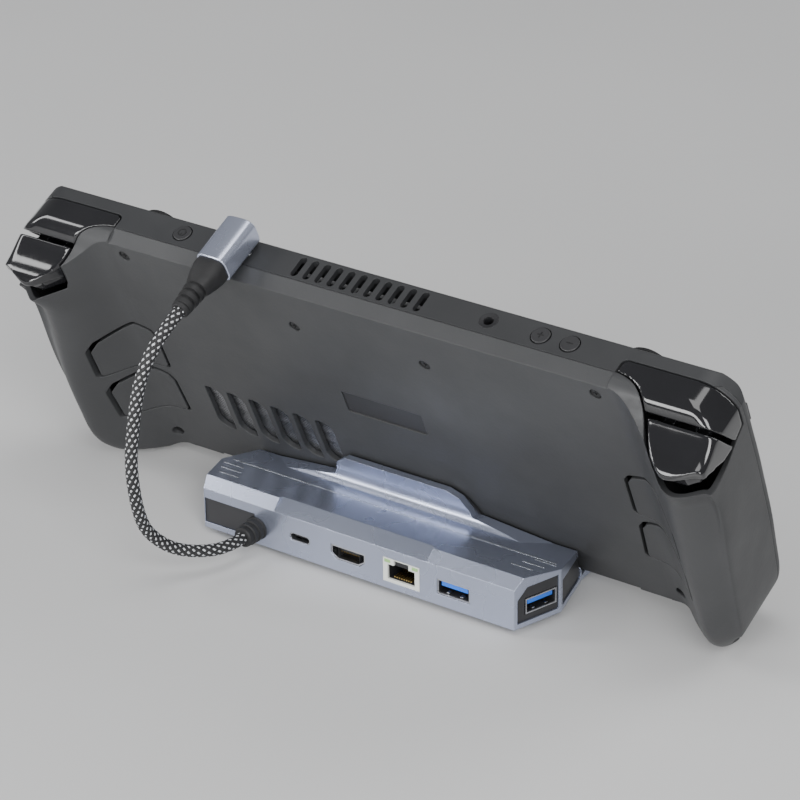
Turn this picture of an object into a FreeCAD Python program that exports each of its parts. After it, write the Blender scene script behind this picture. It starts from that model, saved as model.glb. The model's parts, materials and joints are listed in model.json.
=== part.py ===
"""Handheld game console standing in a docking station, with its dock cable.

Row frame: millimetres, +Z up, X along the console's length, the screen faces -Y.
The origin is at the middle of the footprint box, on the surface that the feet stand on.

Two local frames are used:
  dock frame     X as in the row, Y = 0 at the dock's rear face, Z = 0 at its metal underside
  console frame  X as in the row, Y (depth) from the screen face towards the back,
                 Z (height) from the bottom edge to the top edge; it leans back in the dock
"""
import FreeCAD, Part
import Sketcher
import math
import os

V = FreeCAD.Vector
doc = FreeCAD.newDocument("docked_console")

# ------------------------------------------------------------------ driving dimensions
DRIVING = {
    # placing of the two local frames
    "rear_face_y": 25.76,
    "foot_height": 2.5,
    "lean_angle": 24.14,
    "seat_y": -61.71,
    "seat_z": 10.30,
    # console body
    "console_height": 117.0,
    "console_half_length": 149.5,
    "body_depth": 18.5,
    "split_depth": 12.4,
    "band_drop": 2.2,
    "wall": 2.2,
    "lobe_start": 106.9,
    "bottom_radius": 18.0,
    # screen side
    "glass_length": 168.0,
    "glass_height": 105.0,
    "glass_thickness": 1.1,
    "display_length": 154.0,
    "display_height": 97.0,
    "display_thickness": 2.6,
    # controls
    "stick_x": 105.0,
    "stick_height": 96.5,
    "stick_cap_radius": 9.3,
    "stick_hole_radius": 12.6,
    "face_button_radius": 4.6,
    "face_button_spread": 8.2,
    "small_button_length": 7.0,
    "small_button_width": 3.2,
    "pill_button_length": 11.0,
    "pill_button_width": 4.6,
    "dpad_arm": 12.0,
    "dpad_width": 8.0,
    "trackpad_size": 32.5,
    "top_button_radius": 3.5,
    "button_clearance": 0.3,
    # inside
    "fan_radius": 21.0,
    "fan_depth": 6.0,
    "screw_head_radius": 1.9,
    # dock
    "dock_half_rear": 68.8,
    "dock_half_ridge": 75.6,
    "dock_half_front": 69.7,
    "dock_ridge_y": 20.3,
    "dock_trough_y": 43.6,
    "dock_front_y": 67.5,
    "dock_rear_height": 16.2,
    "dock_top_height": 19.9,
    "dock_skin": 2.0,
    "pad_thickness": 1.0,
    "rest_thickness": 3.0,
    "foot_length": 118.0,
    "foot_width": 7.0,
    # cable and plug
    "cable_diameter": 4.8,
    "gland_radius": 4.5,
    "gland_length": 9.0,
    "plug_x": 53.0,
    "plug_width": 13.0,
    "plug_shell_depth": 20.5,
    "plug_shell_height": 11.6,
    "boot_length": 22.0,
}

sheet = doc.addObject("Spreadsheet::Sheet", "Dimensions")
for row, (alias, value) in enumerate(DRIVING.items(), start=1):
    sheet.set(f"A{row}", alias)
    sheet.set(f"B{row}", str(value))
    sheet.setAlias(f"B{row}", alias)
doc.recompute()


def dim(alias):
    """Value of one driving dimension, read from the sheet."""
    return float(sheet.get(alias))


wall = dim("wall")
height = dim("console_height")
depth = dim("body_depth")
half_length = dim("console_half_length")
split = dim("split_depth")
lobe_start = dim("lobe_start")

# ------------------------------------------------------------------ frames and helpers
dock_frame = FreeCAD.Placement(V(0, dim("rear_face_y"), dim("foot_height")), FreeCAD.Rotation())
console_frame = dock_frame * FreeCAD.Placement(
    V(0, dim("seat_y"), dim("seat_z")), FreeCAD.Rotation(V(1, 0, 0), -dim("lean_angle")))

ACROSS = FreeCAD.Rotation(V(0, 1, 0), 90)      # turns a cylinder's axis to X
INWARD = FreeCAD.Rotation(V(1, 0, 0), -90)     # turns a cylinder's axis to +Y
UPRIGHT = FreeCAD.Rotation()

nodes = {}


def keep(label, piece, frame):
    """Names a finished sub-part and sets it in its frame."""
    piece.Label = label
    piece.Placement = frame * piece.Placement
    nodes[label] = piece
    return piece


def primitive(kind, name, sizes, at=(0, 0, 0), turn=UPRIGHT):
    """A Part primitive whose sizes are expressions of the sheet's aliases."""
    piece = doc.addObject(kind, name)
    for prop, size in sizes.items():
        piece.setExpression(prop, str(size))
    piece.Placement = FreeCAD.Placement(V(*at), turn)
    return piece


def block(name, length, width, tall, at):
    """Box with its low corner at `at`; sizes are numbers or expressions."""
    return primitive("Part::Box", name, {"Length": length, "Width": width, "Height": tall}, at)


def rod(name, radius, long, at, turn=UPRIGHT):
    return primitive("Part::Cylinder", name, {"Radius": radius, "Height": long}, at, turn)


def cut(name, base, tools):
    """Base minus several tools, as one Part::Cut."""
    tool = tools[0]
    if len(tools) > 1:
        tool = doc.addObject("Part::MultiFuse", name + "_tools")
        tool.Shapes = tools
    result = doc.addObject("Part::Cut", name)
    result.Base = base
    result.Tool = tool
    return result


def join(name, pieces):
    result = doc.addObject("Part::MultiFuse", name)
    result.Shapes = pieces
    return result


def group(name, pieces):
    """Separate equal solids kept in one node."""
    result = doc.addObject("Part::Compound", name)
    result.Links = pieces
    return result


def rounded(name, base, direction, radius, where=None):
    """Part::Fillet on the base's straight edges that run along one direction."""
    doc.recompute()
    edges = []
    for number, edge in enumerate(base.Shape.Edges, start=1):
        ends = [vertex.Point for vertex in edge.Vertexes]
        if len(ends) != 2 or not isinstance(edge.Curve, (Part.Line, Part.LineSegment)):
            continue
        along = abs((ends[1] - ends[0]).normalize().dot(V(*direction)))
        if along > 0.999 and (where is None or where(edge.CenterOfMass)):
            edges.append((number, radius, radius))
    result = doc.addObject("Part::Fillet", name)
    result.Base = base
    result.Edges = edges
    return result


def fixed_shape(name, shape):
    """Part::Feature for a free-form piece, made from the sheet's values in code."""
    piece = doc.addObject("Part::Feature", name)
    piece.Shape = shape
    return piece


def outline_prism(points, axis, start, stop):
    """Solid between two offsets along `axis` ('x', 'y' or 'z') over a polygon of pairs.

    The pairs are the two coordinates left, in X, Y, Z order.
    """
    place = {
        "x": lambda a, b: V(start, a, b),
        "y": lambda a, b: V(a, start, b),
        "z": lambda a, b: V(a, b, start),
    }[axis]
    reach = {"x": V(1, 0, 0), "y": V(0, 1, 0), "z": V(0, 0, 1)}[axis] * (stop - start)
    corners = [place(*pair) for pair in points]
    wire = Part.makePolygon(corners + corners[:1])
    return Part.Face(wire).extrude(reach)


def mirrored(shape):
    """The same shape on the other side of the console's middle plane."""
    return shape.mirror(V(0, 0, 0), V(1, 0, 0))


def both_sides(shape):
    return [shape, mirrored(shape)]


# ------------------------------------------------------------------ console envelope
# Stations up the grip: height, half length, depth of the crest, fullness of its corner
GRIP_STATIONS = [
    (28.0, 146.6, 39.0, 0.73),
    (42.0, 147.9, 38.6, 0.73),
    (56.0, 148.7, 37.2, 0.73),
    (68.0, 149.1, 35.2, 0.72),
    (77.0, 149.4, 34.0, 0.71),
    (84.0, 149.5, 34.2, 0.72),
    (90.0, 149.5, 36.6, 0.74),
    (96.0, 149.5, 38.6, 0.77),
    (105.0, 149.5, 39.4, 0.78),
    (119.0, 149.5, 39.4, 0.78),
]
# The heel draws in towards the bottom edge along a quarter ellipse
HEEL_START = 22.0
HEEL_SIDE = 145.9
HEEL_DEPTH = 39.0
HEEL_FULLNESS = 0.73
HEEL_SIDE_RADIUS = 15.0
CREST_X = 137.5
SIDE_DEPTH = 17.0
FRONT_EDGE = 1.2
LOBE_INNER_X = 94.0
MIDDLE_HALF = 100.0
TROUGH_X = 106.0
SLOPE_ACROSS = 0.68
SLOPE_BACK = 0.73
SLOPE_OFFSET = 63.8


def slope_x(back, inset):
    """X of the grip's inner slope at a depth."""
    return (SLOPE_OFFSET + inset + SLOPE_BACK * back) / SLOPE_ACROSS


def heel_stations(inset):
    """Stations of the rounded heel, from the bottom up."""
    stations = []
    for degrees in (80, 66, 52, 38, 24, 10):
        turn = math.radians(degrees)
        level = HEEL_START - (HEEL_START - inset) * math.sin(turn)
        drawn = 1 - math.cos(turn)
        side = HEEL_SIDE - (HEEL_SIDE_RADIUS - inset) * drawn
        crest = HEEL_DEPTH - (dim("bottom_radius") - inset) * drawn
        stations.append((level, side, crest, HEEL_FULLNESS))
    return stations


def grip_section(station, inset):
    """Closed wire of one level section of the right grip, `inset` inside the skin."""
    level, half, crest, fullness = station
    side = half - inset
    back = depth - inset
    crest -= inset
    rise = crest - back
    corner = V(CREST_X + (side - CREST_X) * fullness, SIDE_DEPTH + (crest - SIDE_DEPTH) * fullness, level)
    low = back + 0.32 * rise
    high = back + 0.74 * rise
    knots = [
        V(TROUGH_X, back, level),
        V(slope_x(back, inset) - 0.6, back + 0.055 * rise, level),
        V(slope_x(low, inset), low, level),
        V(slope_x(high, inset), high, level),
        V(CREST_X, crest, level),
        corner,
        V(side, SIDE_DEPTH, level),
    ]
    skin = Part.BSplineCurve()
    skin.interpolate(Points=knots, InitialTangent=V(1, 0, 0), FinalTangent=V(0, -1, 0))
    radius = 3.6
    inner = V(LOBE_INNER_X, inset, level)
    front_side = V(side, inset + radius, level)
    front_mid = V(side - radius * (1 - math.sqrt(0.5)), inset + radius * (1 - math.sqrt(0.5)), level)
    front_edge = V(side - radius, inset, level)
    return Part.Wire([
        Part.LineSegment(inner, V(LOBE_INNER_X, back, level)).toShape(),
        Part.LineSegment(V(LOBE_INNER_X, back, level), knots[0]).toShape(),
        skin.toShape(),
        Part.LineSegment(knots[-1], front_side).toShape(),
        Part.Arc(front_side, front_mid, front_edge).toShape(),
        Part.LineSegment(front_edge, inner).toShape(),
    ])


def front_outline(inset):
    """The lobe's outline seen from the screen side, as a prism through the depth."""
    top = height - inset
    side = half_length + 1.0 - inset
    radius = 15.0 - inset
    half_turn = 1 - math.sqrt(0.5)
    inner = LOBE_INNER_X - 1
    top_end = V(side - radius, -1, top)
    top_mid = V(side - radius * half_turn, -1, top - radius * half_turn)
    side_top = V(side, -1, top - radius)
    wire = Part.Wire([
        Part.LineSegment(V(inner, -1, top), top_end).toShape(),
        Part.Arc(top_end, top_mid, side_top).toShape(),
        Part.LineSegment(side_top, V(side, -1, inset)).toShape(),
        Part.LineSegment(V(side, -1, inset), V(inner, -1, inset)).toShape(),
        Part.LineSegment(V(inner, -1, inset), V(inner, -1, top)).toShape(),
    ])
    return Part.Face(wire).extrude(V(0, 60, 0))


# The shoulder's roll and dish seen from the console's end: depth, height
SHOULDER_LINE = [
    (13.0, 117.0),
    (16.4, 116.5),
    (18.8, 115.0),
    (20.8, 112.4),
    (23.6, 109.6),
    (27.6, 107.2),
    (31.8, 105.7),
    (35.6, 104.7),
    (38.0, 102.6),
    (39.6, 98.6),
]


def drawn_in(points, inset):
    """The points moved `inset` towards the inside, square to the line through their neighbours."""
    moved = []
    for number, (along, up) in enumerate(points):
        before = points[max(0, number - 1)]
        after = points[min(len(points) - 1, number + 1)]
        run, rise = after[0] - before[0], after[1] - before[1]
        length = math.hypot(run, rise)
        moved.append((along + inset * rise / length, up - inset * run / length))
    return moved


def side_outline(inset):
    """The lobe seen from its end: level top, rolled bumper, dished trigger."""
    line = [V(lobe_start, along, up) for along, up in drawn_in(SHOULDER_LINE, inset)]
    line[0].z = height - inset
    roll = Part.BSplineCurve()
    roll.interpolate(Points=line, InitialTangent=V(0, 1, 0))
    front, back, floor = -1.0, 46.0, inset - 1.0
    corners = [line[-1], V(lobe_start, back, 90), V(lobe_start, back, floor), V(lobe_start, front, floor),
               V(lobe_start, front, height - 2 * inset - FRONT_EDGE + front),
               V(lobe_start, inset + FRONT_EDGE, height - inset), line[0]]
    edges = [roll.toShape()]
    edges += [Part.LineSegment(a, b).toShape() for a, b in zip(corners, corners[1:])]
    return Part.Face(Part.Wire(edges)).extrude(V(60, 0, 0))


def band_outline(inset, reach, start, stop):
    """The middle body's end view, `reach` deep, as a prism along X."""
    drop = dim("band_drop")
    fall = drop / (depth - split)
    edge = FRONT_EDGE
    floor = inset + 0.6
    points = [
        (inset, floor + edge),
        (inset, height - inset - edge),
        (inset + edge, height - inset),
        (split, height - inset),
        (reach - inset, height - inset - fall * (reach - inset - split)),
        (reach - inset, floor + 0.8),
        (reach - inset - 0.8, floor),
        (inset + edge, floor),
    ]
    return outline_prism(points, "x", start, stop)


def lobe(inset):
    """The right grip with its shoulder, `inset` inside the skin."""
    sections = [grip_section(station, inset) for station in heel_stations(inset) + GRIP_STATIONS]
    body = Part.makeLoft(sections, True, False)
    body = body.common(front_outline(inset))
    shoulder = body.common(side_outline(inset))
    neck = body.common(band_outline(inset, 45.0, LOBE_INNER_X - 2, lobe_start))
    whole = shoulder.fuse(neck).Solids[0]
    return whole.makeFillet(4.0, [edge for edge in whole.Edges if on_outer_corner(edge)])


def on_outer_corner(edge):
    """Whether an edge is where the bumper's roll meets the rounded outer corner."""
    middle = edge.CenterOfMass
    return middle.x > 138 and middle.y > 14 and middle.z > 110


def envelope(inset):
    """The whole console as one closed solid, `inset` inside the skin."""
    middle = band_outline(inset, depth, -MIDDLE_HALF, MIDDLE_HALF)
    right = lobe(inset)
    return middle.fuse([right, mirrored(right)])


# ------------------------------------------------------------------ openings in the shoulders
def curve_through(points):
    """Edge of a smooth curve through the points."""
    curve = Part.BSplineCurve()
    curve.interpolate(Points=points)
    return curve.toShape()


def curved_prism(line, corners, reach):
    """Prism over a face bounded by a smooth line and straight edges through the corners."""
    edges = [curve_through(line)]
    closing = [line[-1]] + corners + [line[0]]
    edges += [Part.LineSegment(a, b).toShape() for a, b in zip(closing, closing[1:])]
    return Part.Face(Part.Wire(edges)).extrude(reach)


def opening(clear):
    """Room for the bumper and trigger in the right shoulder, drawn in by `clear`."""
    start = lobe_start + clear
    low = 80.0
    plan = [V(x + clear, y - clear, low) for x, y in (
        (lobe_start, 12.4), (112.6, 13.6), (117.6, 16.4), (121.2, 20.6), (124.6, 28.0), (129.6, 36.0), (134.0, 43.0))]
    room = curved_prism(plan, [V(158, 43 - clear, low), V(158, 6.1 + clear, low), V(start, 6.1 + clear, low)],
                        V(0, 0, 45))
    room = room.makeFillet(2.6, [edge for edge in room.Edges if on_inner_corner(edge, start)])
    knee = [V(x + clear, 0, z + clear) for x, z in (
        (103.0, 111.8), (113.0, 111.2), (119.0, 108.6), (122.8, 103.4), (125.6, 96.0), (128.6, 86.0))]
    room = room.common(curved_prism(knee, [V(158, 0, 86 + clear), V(158, 0, 126), V(103 + clear, 0, 126)],
                                    V(0, 50, 0)))
    return room.common(rounded_sill(clear))


def on_inner_corner(edge, start):
    """Whether an edge is the opening's upright corner nearest the screen and the console's middle."""
    middle = edge.CenterOfMass
    return abs(middle.x - start) < 0.01 and middle.y < 8 and abs(edge.BoundBox.ZLength - 45) < 0.1


def rounded_sill(clear):
    """The opening's lower rim: a smooth curve drawn across the corner of the grip, at 45 degrees."""
    turn = math.sqrt(0.5)
    line = []
    for across, up in ((64.0, 106.0), (66.4, 98.0), (69.6, 93.8), (74.0, 91.8), (80.0, 91.3), (87.0, 92.0),
                       (93.0, 94.6), (98.0, 98.2), (102.0, 100.2), (112.0, 101.0)):
        line.append(V((across + clear * (1 if across < 72 else 0)) * turn * 2, 0, up + clear))
    top = 130.0
    face_corners = [V(line[-1].x, 0, top), V(line[0].x, 0, top)]
    prism = curved_prism(line, face_corners, V(60, 60, 0))
    prism.translate(V(-10, -10, 0))
    return prism


# The slot between bumper and trigger, seen from the console's end: depth, height
GAP_LINE = [(2.0, 86.0), (9.0, 93.6), (13.6, 99.6), (17.0, 105.4), (20.4, 111.0), (24.0, 118.0), (28.0, 126.0)]


def ahead_of_gap(shift):
    """Everything in front of the slot between bumper and trigger, moved back by `shift`."""
    line = [V(100, along + shift, up) for along, up in GAP_LINE]
    return curved_prism(line, [V(100, -5, 126), V(100, -5, 86)], V(60, 0, 0))


outer = envelope(0.0)
cavity = envelope(wall)
skin = outer.cut(cavity)
thin_inner = envelope(3.2)
shoulder_room = opening(0.0)

# ------------------------------------------------------------------ places of the controls
stick_x = dim("stick_x")
stick_z = dim("stick_height")
DPAD_PLACE = (-133.0, 94.0)
FACE_PLACE = (132.5, 94.0)
MENU_PLACE = (122.6, 109.4)
PILL_PLACE = (107.0, 28.5)
PAD_PLACE = (107.0, 57.0)
TOP_BUTTON_DEPTH = 6.6
POWER_X = 79.6
VOLUME_UP_X = -74.2
VOLUME_DOWN_X = -85.9
JACK_X = -53.0
JACK_RADIUS = 1.8
gap = dim("button_clearance")
spread = dim("face_button_spread")
FACE_BUTTONS = {
    "button_a": (FACE_PLACE[0], FACE_PLACE[1] - spread),
    "button_b": (FACE_PLACE[0] + spread, FACE_PLACE[1]),
    "button_x": (FACE_PLACE[0] - spread, FACE_PLACE[1]),
    "button_y": (FACE_PLACE[0], FACE_PLACE[1] + spread),
}


def slot_shape(x, z, length, width, front, back):
    """Solid of a slot with round ends, along X, from one depth to another."""
    radius = width / 2
    half = length / 2 - radius
    bar = Part.makeBox(2 * half, back - front, width, V(x - half, front, z - radius))
    ends = [Part.makeCylinder(radius, back - front, V(x + s * half, front, z), V(0, 1, 0)) for s in (-1, 1)]
    return bar.fuse(ends)


def cross_shape(x, z, arm, width, front, back):
    across = Part.makeBox(2 * arm, back - front, width, V(x - arm, front, z - width / 2))
    upright = Part.makeBox(width, back - front, 2 * arm, V(x - width / 2, front, z - arm))
    return across.fuse(upright)


def bore(x, z, radius, front, back):
    return Part.makeCylinder(radius, back - front, V(x, front, z), V(0, 1, 0))


def top_bore(x, radius, low, high):
    return Part.makeCylinder(radius, high - low, V(x, TOP_BUTTON_DEPTH, low))


# ------------------------------------------------------------------ front shell
def split_region():
    """Everything on the screen side of the seam between the two shells."""
    side = half_length + 8
    return outline_prism([
        (-side, -6), (side, -6), (side, 4.4), (143.4, 4.4), (134.0, split),
        (-134.0, split), (-143.4, 4.4), (-side, 4.4),
    ], "z", -10, 130)


def vent_slots():
    """Eleven exhaust slots through the top band."""
    count = 11
    pitch = 5.25
    first = 27.4
    radius = 1.45
    slots = []
    for number in range(count):
        x = first - number * pitch
        bar = Part.makeBox(2 * radius, 6.2, 6, V(x - radius, 3.6, height - 4))
        ends = [Part.makeCylinder(radius, 6, V(x, y, height - 4)) for y in (3.6, 9.8)]
        slots.append(bar.fuse(ends))
    return slots


def speaker_slots():
    slots = []
    for number in range(3):
        for side in (-1, 1):
            slots.append(slot_shape(side * 104.0, 9.5 + 4.0 * number, 14.0, 1.6, -1, wall + 1))
    return slots


def front_shell():
    glass_x = dim("glass_length") / 2 + 0.15
    glass_z = dim("glass_height") / 2 + 0.15
    middle = height / 2
    window_x = dim("display_length") / 2 + 0.8
    window_z = dim("display_height") / 2 + 0.8
    pad = dim("trackpad_size") / 2 + 0.2
    recess = dim("glass_thickness") + 0.15
    rocking = gap + 0.2
    tools = [
        Part.makeBox(2 * glass_x, recess + 1, 2 * glass_z, V(-glass_x, -1, middle - glass_z)),
        Part.makeBox(2 * window_x, wall + 2, 2 * window_z, V(-window_x, -1, middle - window_z)),
        cross_shape(*DPAD_PLACE, dim("dpad_arm") + rocking, dim("dpad_width") + 2 * rocking, -1, wall + 1),
    ]
    for side in (-1, 1):
        tools.append(bore(side * stick_x, stick_z, dim("stick_hole_radius"), -1, wall + 1))
        tools.append(slot_shape(side * MENU_PLACE[0], MENU_PLACE[1], dim("small_button_length") + 2 * gap,
                                dim("small_button_width") + 2 * gap, -1, wall + 1))
        tools.append(slot_shape(side * PILL_PLACE[0], PILL_PLACE[1], dim("pill_button_length") + 2 * gap,
                                dim("pill_button_width") + 2 * gap, -1, wall + 1))
        low = V(side * PAD_PLACE[0] - pad, -1, PAD_PLACE[1] - pad)
        tools.append(Part.makeBox(2 * pad, wall + 2, 2 * pad, low))
    for x, z in FACE_BUTTONS.values():
        tools.append(bore(x, z, dim("face_button_radius") + gap, -1, wall + 1))
    for x in (POWER_X, VOLUME_UP_X, VOLUME_DOWN_X):
        tools.append(top_bore(x, dim("top_button_radius") + gap, height - wall - 2, height + 2))
    tools.append(top_bore(JACK_X, JACK_RADIUS + 0.9, height - wall - 2, height + 2))
    tools.append(usb_opening())
    tools += vent_slots() + speaker_slots() + both_sides(shoulder_room)
    shell = skin.common(split_region()).cut(tools)
    return keep("front_shell", fixed_shape("FrontShell", shell), console_frame)


def usb_opening():
    """Mouth of the console's power and data port in the top band."""
    mouth = Part.makeBox(9.4, 3.6, 8, V(dim("plug_x") - 4.7, TOP_BUTTON_DEPTH - 1.8, height - 5))
    return mouth.makeFillet(1.7, [e for e in mouth.Edges if abs(e.Vertexes[0].Z - e.Vertexes[1].Z) > 1])


# ------------------------------------------------------------------ rear cover
# Outlines seen from the screen side, low edge first; each plate bends about its low edge
UPPER_BACK_BUTTON = [(127.2, 46.6), (103.4, 48.0), (103.4, 64.6), (105.4, 67.4), (112.0, 69.4), (124.6, 64.0),
                     (127.2, 60.6)]
LOWER_BACK_BUTTON = [(126.0, 22.6), (102.6, 23.4), (103.6, 39.4), (105.8, 42.4), (112.0, 44.4), (124.4, 40.4),
                     (126.8, 37.2)]
BUTTON_SLOT = 1.5
HINGE_SLOT = 0.4


def back_button_room(points, slot, hinge):
    """Prism of a back button's outline, grown by `slot` at the sides and top and `hinge` at its low edge."""
    middle_x = sum(x for x, z in points) / len(points)
    half_x = (max(x for x, z in points) - min(x for x, z in points)) / 2
    low = min(z for x, z in points)
    high = max(z for x, z in points)
    grown = []
    for x, z in points:
        share = (z - low) / (high - low)
        grown.append((middle_x + (x - middle_x) * (1 + slot / half_x), z - hinge + (slot + hinge) * share))
    prism = outline_prism(grown, "y", split + 1.5, 48.0)
    upright = [e for e in prism.Edges if abs(e.Vertexes[0].Y - e.Vertexes[1].Y) > 1]
    return prism.makeFillet(1.4 + slot / 2, upright)


def intake_slot(number):
    """One upright intake slot in the rear cover, with two opposite corners well rounded."""
    inner_x = INTAKE_FIRST_X - INTAKE_PITCH * number
    slot = Part.makeBox(INTAKE_WIDE, 10, INTAKE_TALL, V(inner_x, 14, INTAKE_LOW))
    middle = V(inner_x + INTAKE_WIDE / 2, 0, INTAKE_LOW + INTAKE_TALL / 2)
    for radius, side in ((5.2, -1), (1.0, 1)):
        corners = []
        for edge in slot.Edges:
            away = edge.CenterOfMass - middle
            if abs(edge.Vertexes[0].Y - edge.Vertexes[1].Y) > 5 and away.x * away.z * side > 1:
                corners.append(edge)
        slot = slot.makeFillet(radius, corners)
    return slot


INTAKE_FIRST_X = 80.5
INTAKE_PITCH = 10.2
INTAKE_WIDE = 7.6
INTAKE_TALL = 23.0
INTAKE_LOW = 20.0
INTAKE_COUNT = 6
BADGE_HALF = 17.4
BADGE_LOW = 55.6
BADGE_HIGH = 66.4
SCREW_PLACES = [(101.0, 109.8), (28.1, 97.5), (28.1, 9.0), (112.8, 8.0)]


def screw_seats():
    seats = []
    for x, z in SCREW_PLACES:
        for side in (-1, 1):
            seats.append(bore(side * x, z, dim("screw_head_radius") + 0.35, depth - 1.5, depth + 6))
            seats.append(bore(side * x, z, 1.0, depth - wall - 1, depth))
    return seats


def rear_cover():
    seam = split_region()
    seam.translate(V(0, 0.12, 0))
    tools = [seam]
    tools += both_sides(shoulder_room)
    for outline in (UPPER_BACK_BUTTON, LOWER_BACK_BUTTON):
        tools += both_sides(back_button_room(outline, BUTTON_SLOT, HINGE_SLOT))
    tools += [intake_slot(number) for number in range(INTAKE_COUNT)]
    tools.append(Part.makeBox(2 * BADGE_HALF, 2, BADGE_HIGH - BADGE_LOW, V(-BADGE_HALF, depth - 0.9, BADGE_LOW)))
    tools += screw_seats()
    cover = skin.cut(tools)
    return keep("rear_cover", fixed_shape("RearCover", cover), console_frame)


# ------------------------------------------------------------------ bumpers and triggers
TRIGGER_PIVOT = (14.0, 104.0)
PIN_RADIUS = 1.5
PIN_CLEARANCE = 0.05


def bumper():
    room = opening(0.45).common(ahead_of_gap(0.0))
    return skin.common(room)


def trigger():
    """Glossy dished lever with a skirt that dips into the shoulder, on two arms."""
    room = opening(1.0).cut(ahead_of_gap(2.0))
    lip_line = [(8, 96.8), (21, 96.8), (31, 101.0), (50, 101.4), (50, 125), (8, 125)]
    plate = outer.cut(thin_inner).common(room).common(outline_prism(lip_line, "x", 100, 160))
    deep_room = opening(1.6).cut(ahead_of_gap(2.0))
    skirt_side = [(8, 95.0), (33.2, 95.0), (33.2, 125), (8, 125)]
    skirt = envelope(3.0).common(deep_room).common(outline_prism(skirt_side, "x", 100, 145.6))
    pivot_y, pivot_z = TRIGGER_PIVOT
    arms = []
    for x in (126.5, 139.5):
        arms.append(Part.makeBox(4, 10, 4.4, V(x, pivot_y, pivot_z - 2.2)))
        arms.append(Part.makeCylinder(2.6, 4, V(x, pivot_y, pivot_z), V(1, 0, 0)))
    lever = plate.fuse([skirt] + arms)
    pin_hole = Part.makeCylinder(PIN_RADIUS + PIN_CLEARANCE, 60, V(100, pivot_y, pivot_z), V(1, 0, 0))
    return lever.cut(pin_hole)


def shoulders():
    """Bumpers, triggers and the steel pins the triggers turn on."""
    right_bumper = bumper()
    right_trigger = trigger()
    keep("bumper_right", fixed_shape("BumperRight", right_bumper), console_frame)
    keep("bumper_left", fixed_shape("BumperLeft", mirrored(right_bumper)), console_frame)
    keep("trigger_right", fixed_shape("TriggerRight", right_trigger), console_frame)
    keep("trigger_left", fixed_shape("TriggerLeft", mirrored(right_trigger)), console_frame)
    pins = []
    for name, start in (("PinRight", 124.0), ("PinLeft", -146.0)):
        pins.append(rod(name, PIN_RADIUS, 22.0, (start, *TRIGGER_PIVOT), ACROSS))
    keep("trigger_pins", group("TriggerPins", pins), console_frame)


def back_buttons():
    for name, outline in (("upper", UPPER_BACK_BUTTON), ("lower", LOWER_BACK_BUTTON)):
        plate = skin.common(back_button_room(outline, 0.0, 0.0))
        for side, shape in zip(("right", "left"), both_sides(plate)):
            label = f"back_button_{name}_{side}"
            keep(label, fixed_shape(label, shape), console_frame)


# ------------------------------------------------------------------ screen and inner pieces
def screen():
    length, tall = dim("glass_length"), dim("glass_height")
    low = (-length / 2, 0.1, (height - tall) / 2)
    glass = block("GlassBlank", "Dimensions.glass_length", "Dimensions.glass_thickness",
                  "Dimensions.glass_height", low)
    keep("screen_glass", rounded("ScreenGlass", glass, (0, 1, 0), 4.0), console_frame)
    length, tall = dim("display_length"), dim("display_height")
    low = (-length / 2, dim("glass_thickness") + 0.12, (height - tall) / 2)
    panel = block("DisplayPanel", "Dimensions.display_length", "Dimensions.display_thickness",
                  "Dimensions.display_height", low)
    keep("display_panel", panel, console_frame)


def inner_frame():
    plate = block("FramePlate", 172, 1.0, 106.8, (-86, 4.4, 4.6))
    windows = [block(f"FrameWindow{n}", 40, 3, 30, (x, 3.5, z)) for n, (x, z) in enumerate([(-78, 14), (38, 14)])]
    windows.append(block("FrameJackNotch", 9, 3, 20, (JACK_X - 4.5, 3.5, 100)))
    windows.append(block("FramePortNotch", 13, 3, 20, (dim("plug_x") - 6.5, 3.5, 106)))
    keep("inner_frame", cut("InnerFrame", plate, windows), console_frame)


def electronics():
    board = block("BoardBlank", 56, 1.2, 84, (29, 6.2, 8))
    step = block("BoardStep", 20, 3, 26, (28, 5.5, 70))
    keep("mainboard", cut("Mainboard", board, [step]), console_frame)
    cell = block("CellBlank", 58, 7.6, 82, (-86, 6.4, 10))
    keep("battery", rounded("Battery", cell, (0, 0, 1), 2.0), console_frame)
    drivers = [block(f"Speaker{n}", 20, 6, 16, (x, 3.0, 5.6)) for n, x in enumerate((94, -114))]
    keep("speakers", group("Speakers", drivers), console_frame)


FAN_PLACE = (0.0, 72.0)


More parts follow.
